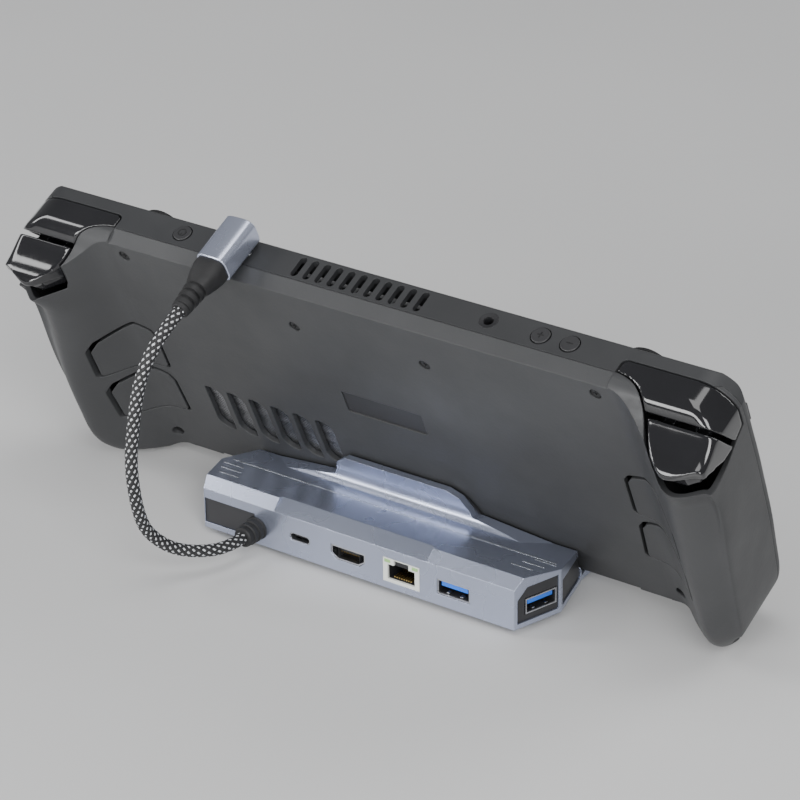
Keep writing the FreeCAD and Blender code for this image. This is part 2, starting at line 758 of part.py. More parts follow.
def cooling():
    x, z = FAN_PLACE
    radius = dim("fan_radius")
    case = block("FanCase", 2 * radius + 8, "Dimensions.fan_depth + 2.4", 2 * radius + 8,
                 (x - radius - 4, 6.4, z - radius - 4))
    room = rod("FanRoom", "Dimensions.fan_radius + 1.2", "Dimensions.fan_depth + 1.4", (x, 7.4, z), INWARD)
    inlet = rod("FanInlet", "Dimensions.fan_radius * 0.62", 6, (x, 11, z), INWARD)
    outlet = block("FanOutlet", 1.4 * radius, "Dimensions.fan_depth", 20, (x - 0.7 * radius, 8, z + 10))
    keep("fan_housing", cut("FanHousing", case, [room, inlet, outlet]), console_frame)
    hub = rod("FanHub", 6.5, "Dimensions.fan_depth", (x, 7.8, z), INWARD)
    blades = []
    count = 9
    for number in range(count):
        turn = FreeCAD.Rotation(V(0, 1, 0), 360.0 * number / count)
        blade = block(f"FanBlade{number}", "Dimensions.fan_radius - 5", "Dimensions.fan_depth - 0.8", 1.0, (0, 0, 0))
        lean = FreeCAD.Rotation(V(0, 1, 0), 18)
        blade.Placement = FreeCAD.Placement(V(x, 8.2, z), turn) * FreeCAD.Placement(V(5, 0, 0), lean)
        blades.append(blade)
    keep("fan_rotor", join("FanRotor", [hub] + blades), console_frame)
    fins = []
    for number in range(13):
        fins.append(block(f"Fin{number}", 0.8, 7.4, 12, (-24.4 + 4.0 * number, 6.6, 100.6)))
    plate = block("FinPlate", 56, 1.0, 12, (-28, 5.8, 100.6))
    pipe = block("HeatPipe", 56, 1.0, 5.5, (27.8, 5.8, 103))
    keep("heat_sink", join("HeatSink", fins + [plate, pipe]), console_frame)


def rear_trim():
    mesh = block("MeshBlank", 66, 0.5, 30, (27, depth - wall - 0.6, 14.6))
    keep("intake_mesh", mesh, console_frame)
    badge = block("BadgePlate", 2 * BADGE_HALF - 0.3, 0.5, BADGE_HIGH - BADGE_LOW - 0.3,
                  (-BADGE_HALF + 0.15, depth - 0.88, BADGE_LOW + 0.15))
    keep("badge_plate", badge, console_frame)
    screws = []
    for number, (x, z) in enumerate(SCREW_PLACES):
        for side in (-1, 1):
            head = rod(f"ScrewHead{number}{side + 1}", "Dimensions.screw_head_radius", 1.0,
                       (side * x, depth - 1.45, z), INWARD)
            shank = rod(f"ScrewShank{number}{side + 1}", 0.95, 3.0, (side * x, depth - 4.4, z), INWARD)
            drive = block(f"ScrewDrive{number}{side + 1}", 1.9, 0.5, 0.5, (side * x - 0.95, depth - 0.85, z - 0.25))
            slot = block(f"ScrewSlot{number}{side + 1}", 0.5, 0.5, 1.9, (side * x - 0.25, depth - 0.85, z - 0.95))
            body = join(f"ScrewBody{number}{side + 1}", [head, shank])
            screws.append(cut(f"Screw{number}{side + 1}", body, [drive, slot]))
    keep("rear_screws", group("RearScrews", screws), console_frame)


def ports():
    x = dim("plug_x")
    can = block("PortCanBlank", 8.9, 3.2, 7.6, (x - 4.45, TOP_BUTTON_DEPTH - 1.6, height - 8.0))
    can = rounded("PortCan", can, (0, 0, 1), 1.5)
    hollow = block("PortHollowBlank", 8.36, 2.56, 7.2, (x - 4.18, TOP_BUTTON_DEPTH - 1.28, height - 7.4))
    hollow = rounded("PortHollow", hollow, (0, 0, 1), 1.2)
    tongue = block("PortTongue", 6.6, 0.6, 5.0, (x - 3.3, TOP_BUTTON_DEPTH - 0.3, height - 7.6))
    shell = cut("PortShell", can, [hollow])
    keep("usb_c_receptacle", join("UsbCReceptacle", [shell, tongue]), console_frame)
    barrel = rod("JackBarrel", JACK_RADIUS + 0.8, 13.0, (JACK_X, TOP_BUTTON_DEPTH, height - 13.4))
    hole = rod("JackHole", JACK_RADIUS, 12.5, (JACK_X, TOP_BUTTON_DEPTH, height - 12.4))
    keep("headphone_jack", cut("HeadphoneJack", barrel, [hole]), console_frame)


# ------------------------------------------------------------------ buttons that travel
def round_button(label, x, z):
    """A PartDesign body: a padded circle with a softened front edge, facing the player."""
    body = doc.addObject("PartDesign::Body", label + "_body")
    sketch = body.newObject("Sketcher::SketchObject", label + "_outline")
    planes = {feature.Role: feature for feature in body.Origin.OriginFeatures}
    sketch.AttachmentSupport = [(planes["XZ_Plane"], "")]
    sketch.MapMode = "FlatFace"
    sketch.addGeometry(Part.Circle(V(0, 0, 0), V(0, 0, 1), 4.0), False)
    sketch.addConstraint(Sketcher.Constraint("Coincident", 0, 3, -1, 1))
    radius = sketch.addConstraint(Sketcher.Constraint("Radius", 0, 4.0))
    sketch.setExpression(f"Constraints[{radius}]", "Dimensions.face_button_radius")
    pad = body.newObject("PartDesign::Pad", label + "_pad")
    pad.Profile = sketch
    pad.Length = 5.6
    doc.recompute()
    edge = body.newObject("PartDesign::Fillet", label + "_edge")
    front = [f"Edge{n}" for n, e in enumerate(pad.Shape.Edges, 1) if e.CenterOfMass.y < -5.0]
    edge.Base = (pad, front)
    edge.Radius = 0.9
    body.Tip = edge
    body.Placement = FreeCAD.Placement(V(x, 3.9, z), UPRIGHT)
    keep(label, body, console_frame)


def slot_button(label, x, z, length, width):
    """A stadium-shaped key standing a little proud of the front shell."""
    base = block(label + "_blank", f"Dimensions.{length}", 5.0, f"Dimensions.{width}",
                 (x - dim(length) / 2, -0.9, z - dim(width) / 2))
    keep(label, rounded(label + "_key", base, (0, 1, 0), dim(width) / 2 - 0.05), console_frame)


def dpad():
    x, z = DPAD_PLACE
    arm = dim("dpad_arm")
    rise = 3.9
    across = block("DpadAcross", "2 * Dimensions.dpad_arm", rise + 1.6, "Dimensions.dpad_width",
                   (x - arm, -rise, z - dim("dpad_width") / 2))
    upright = block("DpadUpright", "Dimensions.dpad_width", rise + 1.6, "2 * Dimensions.dpad_arm",
                    (x - dim("dpad_width") / 2, -rise, z - arm))
    stem = rod("DpadStem", 3.0, 3.0, (x, 0.5, z), INWARD)
    hollow = primitive("Part::Sphere", "DpadHollow", {"Radius": 2.1}, (x, 5.2, z))
    keep("dpad", cut("Dpad", join("DpadCross", [across, upright, stem]), [hollow]), console_frame)
    ball = primitive("Part::Sphere", "DpadBall", {"Radius": 2.0}, (x, 5.2, z))
    post = rod("DpadPost", 1.2, 4.0, (x, 6.0, z), INWARD)
    keep("dpad_pivot", join("DpadPivot", [ball, post]), console_frame)


STICK_PIVOT_DEPTH = 7.6


def sticks():
    """Thumbsticks: a dished cap on a domed skirt, over a cross-axle gimbal and its housing."""
    bases = []
    for label, x in (("left", -stick_x), ("right", stick_x)):
        y, z = STICK_PIVOT_DEPTH, stick_z
        dome = primitive("Part::Sphere", f"Dome_{label}", {"Radius": 9.6}, (x, y, z))
        inside = primitive("Part::Sphere", f"DomeInside_{label}", {"Radius": 8.2}, (x, y, z))
        below = block(f"DomeBelow_{label}", 30, 20, 30, (x - 15, y - 2.4, z - 15))
        skirt = cut(f"DomeSkirt_{label}", dome, [inside, below])
        neck = rod(f"Neck_{label}", 4.6, 6.8, (x, -7.4, z), INWARD)
        stem = rod(f"Stem_{label}", 1.6, 8.3, (x, -4.2, z), INWARD)
        cap = rod(f"Cap_{label}", "Dimensions.stick_cap_radius", 2.6, (x, -9.0, z), INWARD)
        cap_edge = rounded_rim(f"CapEdge_{label}", cap, 0.8)
        dish = primitive("Part::Sphere", f"Dish_{label}", {"Radius": 40.0}, (x, -48.1, z))
        whole = join(f"StickWhole_{label}", [cap_edge, neck, stem, skirt])
        keep(f"stick_cap_{label}", cut(f"StickCap_{label}", whole, [dish]), console_frame)
        axle = rod(f"Axle_{label}", 2.2, 11.0, (x - 5.5, y, z), ACROSS)
        keep(f"stick_gimbal_{label}", axle, console_frame)
        bases.append(block(f"StickBase_{label}", 19, 3.6, 19, (x - 9.5, 10.4, z - 9.5)))
    keep("stick_housings", group("StickHousings", bases), console_frame)


def rounded_rim(name, base, radius):
    """Part::Fillet on both round edges of a disc."""
    doc.recompute()
    result = doc.addObject("Part::Fillet", name)
    result.Base = base
    edges = [n for n, e in enumerate(base.Shape.Edges, 1) if isinstance(e.Curve, Part.Circle)]
    result.Edges = [(number, radius, radius) for number in edges]
    return result


def front_controls():
    for label, place in FACE_BUTTONS.items():
        round_button(label, *place)
    for label, side in (("view_button", -1), ("menu_button", 1)):
        slot_button(label, side * MENU_PLACE[0], MENU_PLACE[1], "small_button_length", "small_button_width")
    for label, side in (("home_button", -1), ("quick_button", 1)):
        slot_button(label, side * PILL_PLACE[0], PILL_PLACE[1], "pill_button_length", "pill_button_width")
    size = dim("trackpad_size")
    for label, side in (("trackpad_left", -1), ("trackpad_right", 1)):
        pad = block(label + "_blank", "Dimensions.trackpad_size", 3.4, "Dimensions.trackpad_size",
                    (side * PAD_PLACE[0] - size / 2, 0.25, PAD_PLACE[1] - size / 2))
        keep(label, rounded(label + "_plate", pad, (0, 1, 0), 1.6), console_frame)


def top_buttons():
    for label, x in (("power_button", POWER_X), ("volume_up", VOLUME_UP_X), ("volume_down", VOLUME_DOWN_X)):
        key = rod(label + "_blank", "Dimensions.top_button_radius", 4.6, (x, TOP_BUTTON_DEPTH, height - 4.1))
        keep(label, rounded_rim(label + "_key", key, 0.35), console_frame)


# ------------------------------------------------------------------ dock
TOP_SLOPE = 0.1465
RECESS_DEPTH = 1.4
PORT_HEIGHT = 7.7


def top_level(y):
    """Height of the dock's sloping top, y measured forward from the rear face."""
    return dim("dock_top_height") - TOP_SLOPE * (y - 4.2)


def dock_plan(inset):
    """Half outlines joined: rear face, ridges, and the narrower front."""
    rear, ridge, front = dim("dock_half_rear"), dim("dock_half_ridge"), dim("dock_half_front")
    ridge_y, trough_y, front_y = dim("dock_ridge_y"), dim("dock_trough_y"), dim("dock_front_y")
    half = [
        (rear - inset, -inset),
        (ridge - inset, -ridge_y),
        (front - inset, -trough_y),
        (front - 1.2 - inset, -(front_y - 1.0 - inset)),
    ]
    return half + [(-x, y) for x, y in reversed(half)]


def dock_side():
    """End view: rear face, chamfer, sloping top, trough and front lip."""
    rear_z, top_z = dim("dock_rear_height"), dim("dock_top_height")
    front_y = dim("dock_front_y")
    return [
        (0, 0), (0, rear_z), (-4.2, top_z), (-dim("dock_trough_y") - 2, top_level(dim("dock_trough_y") + 2)),
        (-58.0, 19.5), (-63.2, 18.2), (-front_y + 1.0, 8.0), (-front_y + 1.0, 0),
    ]


def trough(extra):
    """The slot that the console stands in, along X; `extra` is left for the soft lining."""
    gauge = 0.12
    front = -0.3 - extra
    back = depth + gauge + extra
    low = -0.05 - extra + 0.55
    points = [(front, low), (front, 60), (back, 60), (back, low)]
    prism = outline_prism(points, "x", -90, 90)
    prism.Placement = FreeCAD.Placement(V(0, dim("seat_y"), dim("seat_z")), console_frame.Rotation)
    return prism


def leaning_rest():
    """Raised back rest: a leaning plate with a hollow fillet, under a stepped outline."""
    thick = dim("rest_thickness")
    front = depth + 0.12 + dim("pad_thickness")
    frame = FreeCAD.Placement(V(0, dim("seat_y"), dim("seat_z")), console_frame.Rotation)
    foot = frame.multVec(V(0, front, 0.5))
    top_front = frame.multVec(V(0, front, 40))
    top_back = frame.multVec(V(0, front + thick, 40))
    arc_top = frame.multVec(V(0, front + thick, 23.4))
    arc_mid = frame.multVec(V(0, front + thick + 1.3, 19.2))
    arc_low = V(0, -24.4, top_level(24.4) - 0.02)
    base = V(0, -24.4, 6.0)
    wire = Part.Wire([
        Part.LineSegment(foot, top_front).toShape(),
        Part.LineSegment(top_front, top_back).toShape(),
        Part.LineSegment(top_back, arc_top).toShape(),
        Part.Arc(arc_top, arc_mid, arc_low).toShape(),
        Part.LineSegment(arc_low, base).toShape(),
        Part.LineSegment(base, foot).toShape(),
    ])
    face = Part.Face(wire)
    face.translate(V(-80, 0, 0))
    body = face.extrude(V(160, 0, 0))
    crest = [(-72.5, 4), (-72.5, 13.6), (-33.6, 18.2), (-29.4, 18.6), (-25.6, 26.4), (-20.6, 28.9), (24.6, 28.9),
             (29.2, 25.6), (31.8, 18.8), (35.6, 18.2), (72.5, 13.6), (72.5, 4)]
    return body.common(outline_prism(crest, "y", -60, -10))


def dock_outer():
    solid = outline_prism(dock_plan(0.0), "z", -1, 40)
    solid = solid.common(outline_prism(dock_side(), "x", -90, 90))
    rest = leaning_rest().common(outline_prism(dock_plan(0.0), "z", -1, 40))
    solid = solid.cut(trough(dim("pad_thickness"))).fuse(rest)
    return solid.removeSplitter()


def rear_port(x, z, wide, tall, deep):
    """Box through the rear face, centred on a port."""
    return Part.makeBox(wide, deep, tall, V(x - wide / 2, -deep + 1, z - tall / 2))


USB_C_X = 24.8
HDMI_X = 3.2
ETHERNET_X = -20.4
USB_A_X = -42.9
GLAND_X = 44.5
GLAND_Z = 6.6
SIDE_PORT_FRACTION = 0.58


def end_facets():
    """The two flat facets of the +X end, as (start, end) corner pairs."""
    plan = dock_plan(0.0)
    return [(plan[0], plan[1]), (plan[1], plan[2])]


def facet_frame(start, end):
    """Placement whose X runs along a facet, Y points into the dock, Z is up."""
    along = V(end[0] - start[0], end[1] - start[1], 0)
    turn = FreeCAD.Rotation(V(1, 0, 0), along)
    return FreeCAD.Placement(V(start[0], start[1], 0), turn), along.Length


def end_panel(start, end, shrink, deep):
    """Panel-shaped solid let into one end facet, with a clipped upper corner."""
    frame, long = facet_frame(start, end)
    first, last = 1.5 + shrink, long - 1.2 - shrink
    low, high = 1.9 + shrink, min(top_level(-start[1]), top_level(-end[1])) - 1.9 - shrink
    if start[1] == 0:
        points = [(first, low), (first, high - 4.2), (first + 4.4, high), (last, high), (last, low)]
    else:
        points = [(first, low), (first, high), (last, high), (last, low)]
    solid = outline_prism(points, "y", -deep, 1.0)
    solid.Placement = frame
    return solid


def end_panels(shrink, deep):
    panels = []
    for start, end in end_facets():
        panels += both_sides(end_panel(start, end, shrink, deep))
    return panels


def dock_shell():
    """Anodised metal body, hollow from below, with every port's opening."""
    skin_thickness = dim("dock_skin")
    solid = dock_outer()
    room = outline_prism(dock_plan(skin_thickness + RECESS_DEPTH), "z", -2, 30)
    room = room.common(outline_prism([
        (-2.4, -2), (-2.4, 14.6), (-4.8, 16.6), (-30.0, 13.4), (-40.5, 4.4), (-40.5, -2),
    ], "x", -90, 90))
    tools = [room]
    tools += end_panels(0.0, RECESS_DEPTH)
    tools.append(Part.makeBox(23.2, 2.6, 10.2, V(45.3, -1.4, 2.2)))
    tools.append(Part.makeCylinder(dim("gland_radius") + 0.05, 8, V(GLAND_X, -6, GLAND_Z), V(0, 1, 0)))
    tools.append(usb_c_mouth(9.2, 3.3))
    tools.append(hdmi_profile(0.15, -6, 1))
    tools.append(rear_port(ETHERNET_X, PORT_HEIGHT, 16.1, 9.9, 8))
    tools.append(rear_port(USB_A_X, PORT_HEIGHT, 14.2, 6.3, 8))
    side_hole = Part.makeBox(14.4, 8, 6.5, V(-7.2, -1, -3.25))
    side_hole.Placement = side_port_placement()
    tools.append(side_hole)
    tools += top_grooves()
    tools.append(middle_chamfer())
    tools.append(bottom_plate_solid(0.15))
    return keep("dock_shell", fixed_shape("DockShell", solid.cut(tools)), dock_frame)


def side_port_placement():
    """Frame of the side port: Y points out of the -X end's rear facet into the dock."""
    start, end = end_facets()[0]
    middle_x = start[0] + (end[0] - start[0]) * SIDE_PORT_FRACTION
    middle_y = start[1] + (end[1] - start[1]) * SIDE_PORT_FRACTION
    inward = V(-(start[1] - end[1]), -(end[0] - start[0]), 0)
    inward = V(-inward.x, inward.y, 0)
    turn = FreeCAD.Rotation(V(0, 1, 0), inward)
    return FreeCAD.Placement(V(-middle_x, middle_y, PORT_HEIGHT), turn)


def usb_c_mouth(wide, tall):
    mouth = Part.makeBox(wide, 8, tall, V(USB_C_X - wide / 2, -7, PORT_HEIGHT + 0.5 - tall / 2))
    return mouth.makeFillet(tall / 2 - 0.05, [e for e in mouth.Edges if abs(e.Vertexes[0].Y - e.Vertexes[1].Y) > 1])


def hdmi_profile(grow, low, high):
    """D-shaped prism of the video port: wide above, with slanted lower corners."""
    half_top, half_low = 7.5 + grow, 4.9 + grow
    top, bend, bottom = PORT_HEIGHT + 2.75 + grow, PORT_HEIGHT - 0.6, PORT_HEIGHT - 2.75 - grow
    points = [(-half_top, top), (half_top, top), (half_top, bend), (half_low, bottom), (-half_low, bottom),
              (-half_top, bend)]
    return outline_prism([(HDMI_X + x, z) for x, z in points], "y", low, high)


def top_grooves():
    """One long groove and three short ones near each end, cut square to the top."""
    grooves = [sloped_groove(-72.0, 72.0, 23.0)]
    for number in range(3):
        y = 9.6 + 4.4 * number
        grooves.append(sloped_groove(59.5 + 2.2 * number, 68.6 + 2.2 * number, y))
        grooves.append(sloped_groove(-68.6 - 2.2 * number, -59.5 - 2.2 * number, y + 3.0))
    return grooves


def sloped_groove(start, stop, y):
    return Part.makeBox(stop - start, 0.7, 2, V(start, -y, top_level(y) - 0.45))


def middle_chamfer():
    """The wider chamfer over the middle of the rear edge, square at one end, slanted at the other."""
    profile = [(0.5, dim("dock_rear_height")), (0.0, dim("dock_rear_height") - 0.01), (-5.9, top_level(5.9) + 0.01),
               (-5.9, 24), (0.5, 24)]
    wedge = outline_prism(profile, "x", -31.5, 36.5)
    slant = outline_prism([(-33, 1), (-30.6, 1), (-34.0, -7), (-36, -7)], "z", 10, 26)
    return wedge.cut(slant)


def bottom_plate_solid(grow):
    plan = dock_plan(dim("dock_skin") + RECESS_DEPTH - grow)
    plate = outline_prism(plan, "z", -0.5 if grow else 0.0, 1.3 + grow / 3)
    reach = dim("dock_trough_y") - 3.2
    return plate.common(Part.makeBox(200, reach - 2.5 + 2 * grow, 4, V(-100, -reach - grow, -1)))


def dock_trim():
    """End panels, rear corner panel, bottom plate, feet and the soft lining."""
    plates = [panel for panel in end_panels(0.12, RECESS_DEPTH - 0.05)]
    cover = outline_prism(dock_plan(0.55), "z", 0, 25)
    side_hole = Part.makeBox(14.4, 8, 6.5, V(-7.2, -1, -3.25))
    side_hole.Placement = side_port_placement()
    plates = [plate.common(cover).cut([side_hole, trough(1.4)]) for plate in plates]
    corner = Part.makeBox(22.9, 0.9, 9.9, V(45.45, -1.35, 2.35))
    corner = corner.cut(Part.makeCylinder(dim("gland_radius") + 0.1, 6, V(GLAND_X, -4, GLAND_Z), V(0, 1, 0)))
    plates.append(corner)
    keep("dock_end_panels", fixed_shape("DockEndPanels", Part.makeCompound(plates)), dock_frame)
    keep("dock_bottom_plate", fixed_shape("DockBottomPlate", bottom_plate_solid(0.0)), dock_frame)
    feet = []
    for number, y in enumerate((-13.0, -64.6)):
        foot = block(f"FootBlank{number}", "Dimensions.foot_length", "Dimensions.foot_width",
                     "Dimensions.foot_height", (-dim("foot_length") / 2, y, -dim("foot_height")))
        feet.append(rounded(f"Foot{number}", foot, (0, 0, 1), dim("foot_width") / 2 - 0.05))
    keep("dock_feet", group("DockFeet", feet), dock_frame)
    lining = trough(dim("pad_thickness") - 0.02).cut(trough(0.0))
    lining = lining.common(outline_prism(dock_plan(0.6), "z", 0, 27.2))
    under_crest = leaning_rest_window()
    lining = lining.common(under_crest)
    keep("cradle_lining", fixed_shape("CradleLining", lining), dock_frame)


def leaning_rest_window():
    """What of the lining stays: the slot's floor and lip, and the sheet on the back rest."""
    crest = [(-68, 0), (-68, 13.0), (-33.0, 14.6), (-27.0, 24.6), (-20.4, 27.2), (23.4, 27.2), (28.0, 24.2),
             (35.0, 14.6), (68, 13.0), (68, 0)]
    return outline_prism(crest, "y", -70, -10)


def dock_ports():
    board = block("DockBoardBlank", 128, 33, 1.2, (-64, -37, 1.5))
    keep("dock_board", board, dock_frame)
    front = -0.25
    z = PORT_HEIGHT
    # video port: metal sleeve with a tongue
    sleeve = hdmi_profile(0.0, -11.5, front).cut(hdmi_profile(-0.5, -11.0, front + 1))
    tongue = Part.makeBox(10.2, 8.0, 1.1, V(HDMI_X - 5.1, -11.2, z + 0.5))
    keep("dock_hdmi_port", fixed_shape("DockHdmi", sleeve.fuse(tongue)), dock_frame)
    # network port: white housing with a stepped mouth
    housing = block("EthernetBlank", 15.9, 15.5, 9.7, (ETHERNET_X - 7.95, -15.4, z - 4.85))
    mouth = block("EthernetMouth", 11.8, 13, 6.0, (ETHERNET_X - 5.9, -12.8, z - 3.6))
    latch = block("EthernetLatch", 6.4, 13, 2.2, (ETHERNET_X - 3.2, -12.8, z + 2.3))
    keep("dock_ethernet_port", cut("DockEthernet", housing, [mouth, latch]), dock_frame)
    # fast data ports: one in the rear face, one in the -X end
    rear = usb_a_solid()
    rear.Placement = FreeCAD.Placement(V(USB_A_X, 0, z), FreeCAD.Rotation(V(0, 0, 1), 180))
    side = usb_a_solid()
    side.Placement = side_port_placement()
    keep("dock_usb_a_ports", fixed_shape("DockUsbA", Part.makeCompound([rear, side])), dock_frame)
    can = block("DockUsbCCan", 8.9, 7.2, 3.16, (USB_C_X - 4.45, -7.4, z + 0.5 - 1.58))
    can_round = rounded("DockUsbCRound", can, (0, 1, 0), 1.5)
    hollow = block("DockUsbCHollow", 8.3, 7, 2.56, (USB_C_X - 4.15, -6.8, z + 0.5 - 1.28))
    hollow_round = rounded("DockUsbCHollowRound", hollow, (0, 1, 0), 1.2)
    blade = block("DockUsbCBlade", 6.6, 4.6, 0.6, (USB_C_X - 3.3, -7.0, z + 0.2))
    shell = cut("DockUsbCShell", can_round, [hollow_round])
    keep("dock_usb_c_port", join("DockUsbC", [shell, blade]), dock_frame)


def usb_a_solid():
    """Metal sleeve with a plastic tongue; Y runs from the mouth into the dock."""
    outside = Part.makeBox(14.0, 12.0, 6.1, V(-7.0, 0.3, -3.05))
    inside = Part.makeBox(13.0, 11.4, 5.1, V(-6.5, 0.2, -2.55))
    tongue = Part.makeBox(11.0, 8.8, 1.8, V(-5.5, 3.0, 0.45))
    return outside.cut(inside).fuse(tongue)


# ------------------------------------------------------------------ cable and its ends
PLUG_MIDDLE = 123.4


# Route in the dock frame, from the plug's boot to the gland, chosen by hand
def cable_route():
    frame = FreeCAD.Placement(V(0, dim("seat_y"), dim("seat_z")), console_frame.Rotation)
    boot_depth = 1.5 + dim("plug_shell_depth") + dim("boot_length")
    boot_end = frame.multVec(V(dim("plug_x"), boot_depth, PLUG_MIDDLE))
    straight_on = frame.multVec(V(dim("plug_x"), boot_depth + 11.0, PLUG_MIDDLE))
    return [
        boot_end,
        straight_on,
        V(54.5, 46.2, 92.5),
        V(56.6, 49.8, 81.7),
        V(58.1, 53.2, 59.9),
        V(57.7, 54.1, 48.1),
        V(58.9, 50.0, 31.1),
        V(60.3, 43.3, 19.4),
        V(55.5, 34.6, 10.2),
        V(47.7, 24.0, 7.1),
        V(GLAND_X, dim("gland_length") + 5.6, GLAND_Z),
        V(GLAND_X, dim("gland_length"), GLAND_Z),
    ]


def cable():
    """A tube along straight runs joined by tangent arcs."""
    points = cable_route()
    edges = []
    radii = []
    start = points[0]
    for before, corner, after in zip(points, points[1:], points[2:]):
        back, ahead = before - corner, after - corner
        turn = math.pi - back.getAngle(ahead)
        trim = 0.45 * min(back.Length, ahead.Length)
        radius = trim / math.tan(turn / 2)
        radii.append(radius)
        enter = corner + back.normalize() * trim
        leave = corner + ahead.normalize() * trim
        bisector = (back + ahead).normalize()
        centre = corner + bisector * (radius / math.cos(turn / 2))
        middle = centre - bisector * radius
        edges.append(Part.LineSegment(start, enter).toShape())
        edges.append(Part.Arc(enter, middle, leave).toShape())
        start = leave
    edges.append(Part.LineSegment(start, points[-1]).toShape())
    path = Part.Wire(edges)
    radius = dim("cable_diameter") / 2
    ring = Part.Wire([Part.Circle(points[0], points[1] - points[0], radius).toShape()])
    tube = path.makePipeShell([ring], True, False)
    wanted = math.pi * radius ** 2 * path.Length
    print(f"cable length {path.Length:.1f}, radii " + " ".join(f"{r:.0f}" for r in radii))
    print(f"cable volume {tube.Volume:.1f}, section times length {wanted:.1f}")
    return keep("dock_cable", fixed_shape("DockCable", tube), dock_frame)


def plug():
    """Right-angle plug in the console's top port, and the ribbed boot on its cable."""
    x = dim("plug_x")
    low = height + 0.6
    deep = dim("plug_shell_depth")
    wide = dim("plug_width")
    tall = dim("plug_shell_height")
    blank = block("PlugBlank", "Dimensions.plug_width", "Dimensions.plug_shell_depth",
                  "Dimensions.plug_shell_height", (x - wide / 2, 1.5, low))
    keep("plug_shell", rounded("PlugShell", blank, (0, 1, 0), 3.6), console_frame)
    tip = block("PlugTipBlank", 8.26, 2.46, 7.4, (x - 4.13, TOP_BUTTON_DEPTH - 1.23, low - 7.4))
    tip = rounded("PlugTipRound", tip, (0, 0, 1), 1.17)
    hollow = block("PlugTipHollow", 7.2, 1.5, 6.6, (x - 3.6, TOP_BUTTON_DEPTH - 0.75, low - 7.5))
    keep("plug_tip", cut("PlugTip", tip, [hollow]), console_frame)
    middle = PLUG_MIDDLE
    start = 1.5 + deep
    neck = 8.0
    root = boot_section(x, start, middle, wide - 0.8, tall - 1.0)
    shoulder = boot_section(x, start + neck, middle, wide - 2.6, tall - 2.4)
    taper = boot_section(x, start + neck + 5.0, middle, 7.6, 7.6)
    end = boot_section(x, start + dim("boot_length"), middle, 6.4, 6.4)
    body = Part.makeLoft([root, shoulder], True, True)
    body = body.fuse(Part.makeLoft([shoulder, taper], True, True))
    body = body.fuse(Part.makeLoft([taper, end], True, True))
    keep("plug_boot", fixed_shape("PlugBoot", body), console_frame)


def boot_section(x, y, z, wide, tall):
    """Octagonal section of the boot at depth y."""
    clip = 0.29 * min(wide, tall)
    half_x, half_z = wide / 2, tall / 2
    pairs = [(half_x, half_z - clip), (half_x - clip, half_z), (-half_x + clip, half_z), (-half_x, half_z - clip),
             (-half_x, -half_z + clip), (-half_x + clip, -half_z), (half_x - clip, -half_z), (half_x, -half_z + clip)]
    corners = [V(x + a, y, z + b) for a, b in pairs]
    return Part.makePolygon(corners + corners[:1])


def gland():
    ring = rod("GlandBody", "Dimensions.gland_radius", "Dimensions.gland_length + 3.0", (GLAND_X, -3.0, GLAND_Z), INWARD)
    keep("cable_gland", rounded_rim("CableGland", ring, 0.5), dock_frame)


# ------------------------------------------------------------------ build
front_shell()
rear_cover()
shoulders()
back_buttons()
screen()
inner_frame()
electronics()
cooling()
rear_trim()
ports()
front_controls()
dpad()
sticks()
top_buttons()
dock_shell()
dock_trim()
dock_ports()
gland()
plug()
cable()
doc.recompute()

# ------------------------------------------------------------------ checks and export
for item in doc.Objects:
    if "Invalid" in item.State or "Error" in item.State:
        raise RuntimeError(f"{item.Name} failed: {item.State}")
for label, piece in nodes.items():
    if piece.Shape.isNull() or not piece.Shape.isValid() or not piece.Shape.Solids:
        raise RuntimeError(f"{label} has no valid solid")

os.makedirs("parts", exist_ok=True)
for label, piece in nodes.items():
    piece.Shape.exportStep(f"parts/{label}.step")
    box = piece.Shape.BoundBox
    print(f"{label:26s} solids {len(piece.Shape.Solids):2d} volume {piece.Shape.Volume:9.1f}"
          f"  y {box.YMin:7.2f} {box.YMax:7.2f}  z {box.ZMin:7.2f} {box.ZMax:7.2f}")
print(len(nodes), "nodes")
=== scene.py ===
"""Looks of a handheld console leaning in its port dock, with the short braided cable between them."""
import bmesh
import bpy
import json
import math
from mathutils import Matrix, Vector


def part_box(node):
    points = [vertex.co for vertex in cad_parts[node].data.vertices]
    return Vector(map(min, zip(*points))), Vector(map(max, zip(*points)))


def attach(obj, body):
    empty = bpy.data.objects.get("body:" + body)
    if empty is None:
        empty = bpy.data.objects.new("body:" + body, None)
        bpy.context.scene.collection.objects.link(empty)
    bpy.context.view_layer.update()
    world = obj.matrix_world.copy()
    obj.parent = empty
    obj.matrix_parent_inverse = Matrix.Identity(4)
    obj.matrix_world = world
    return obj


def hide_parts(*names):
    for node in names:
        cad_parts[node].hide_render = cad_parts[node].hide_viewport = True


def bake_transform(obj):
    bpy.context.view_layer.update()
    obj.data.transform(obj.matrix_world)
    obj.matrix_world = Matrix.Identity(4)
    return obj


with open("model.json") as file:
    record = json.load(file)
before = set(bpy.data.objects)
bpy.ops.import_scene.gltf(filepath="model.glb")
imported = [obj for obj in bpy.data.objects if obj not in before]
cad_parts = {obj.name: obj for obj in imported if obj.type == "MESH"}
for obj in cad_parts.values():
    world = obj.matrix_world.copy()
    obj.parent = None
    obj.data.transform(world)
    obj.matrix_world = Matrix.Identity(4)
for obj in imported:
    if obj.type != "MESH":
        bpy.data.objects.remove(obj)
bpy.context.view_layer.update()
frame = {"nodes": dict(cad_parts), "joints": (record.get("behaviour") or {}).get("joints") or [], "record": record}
MM = 0.001

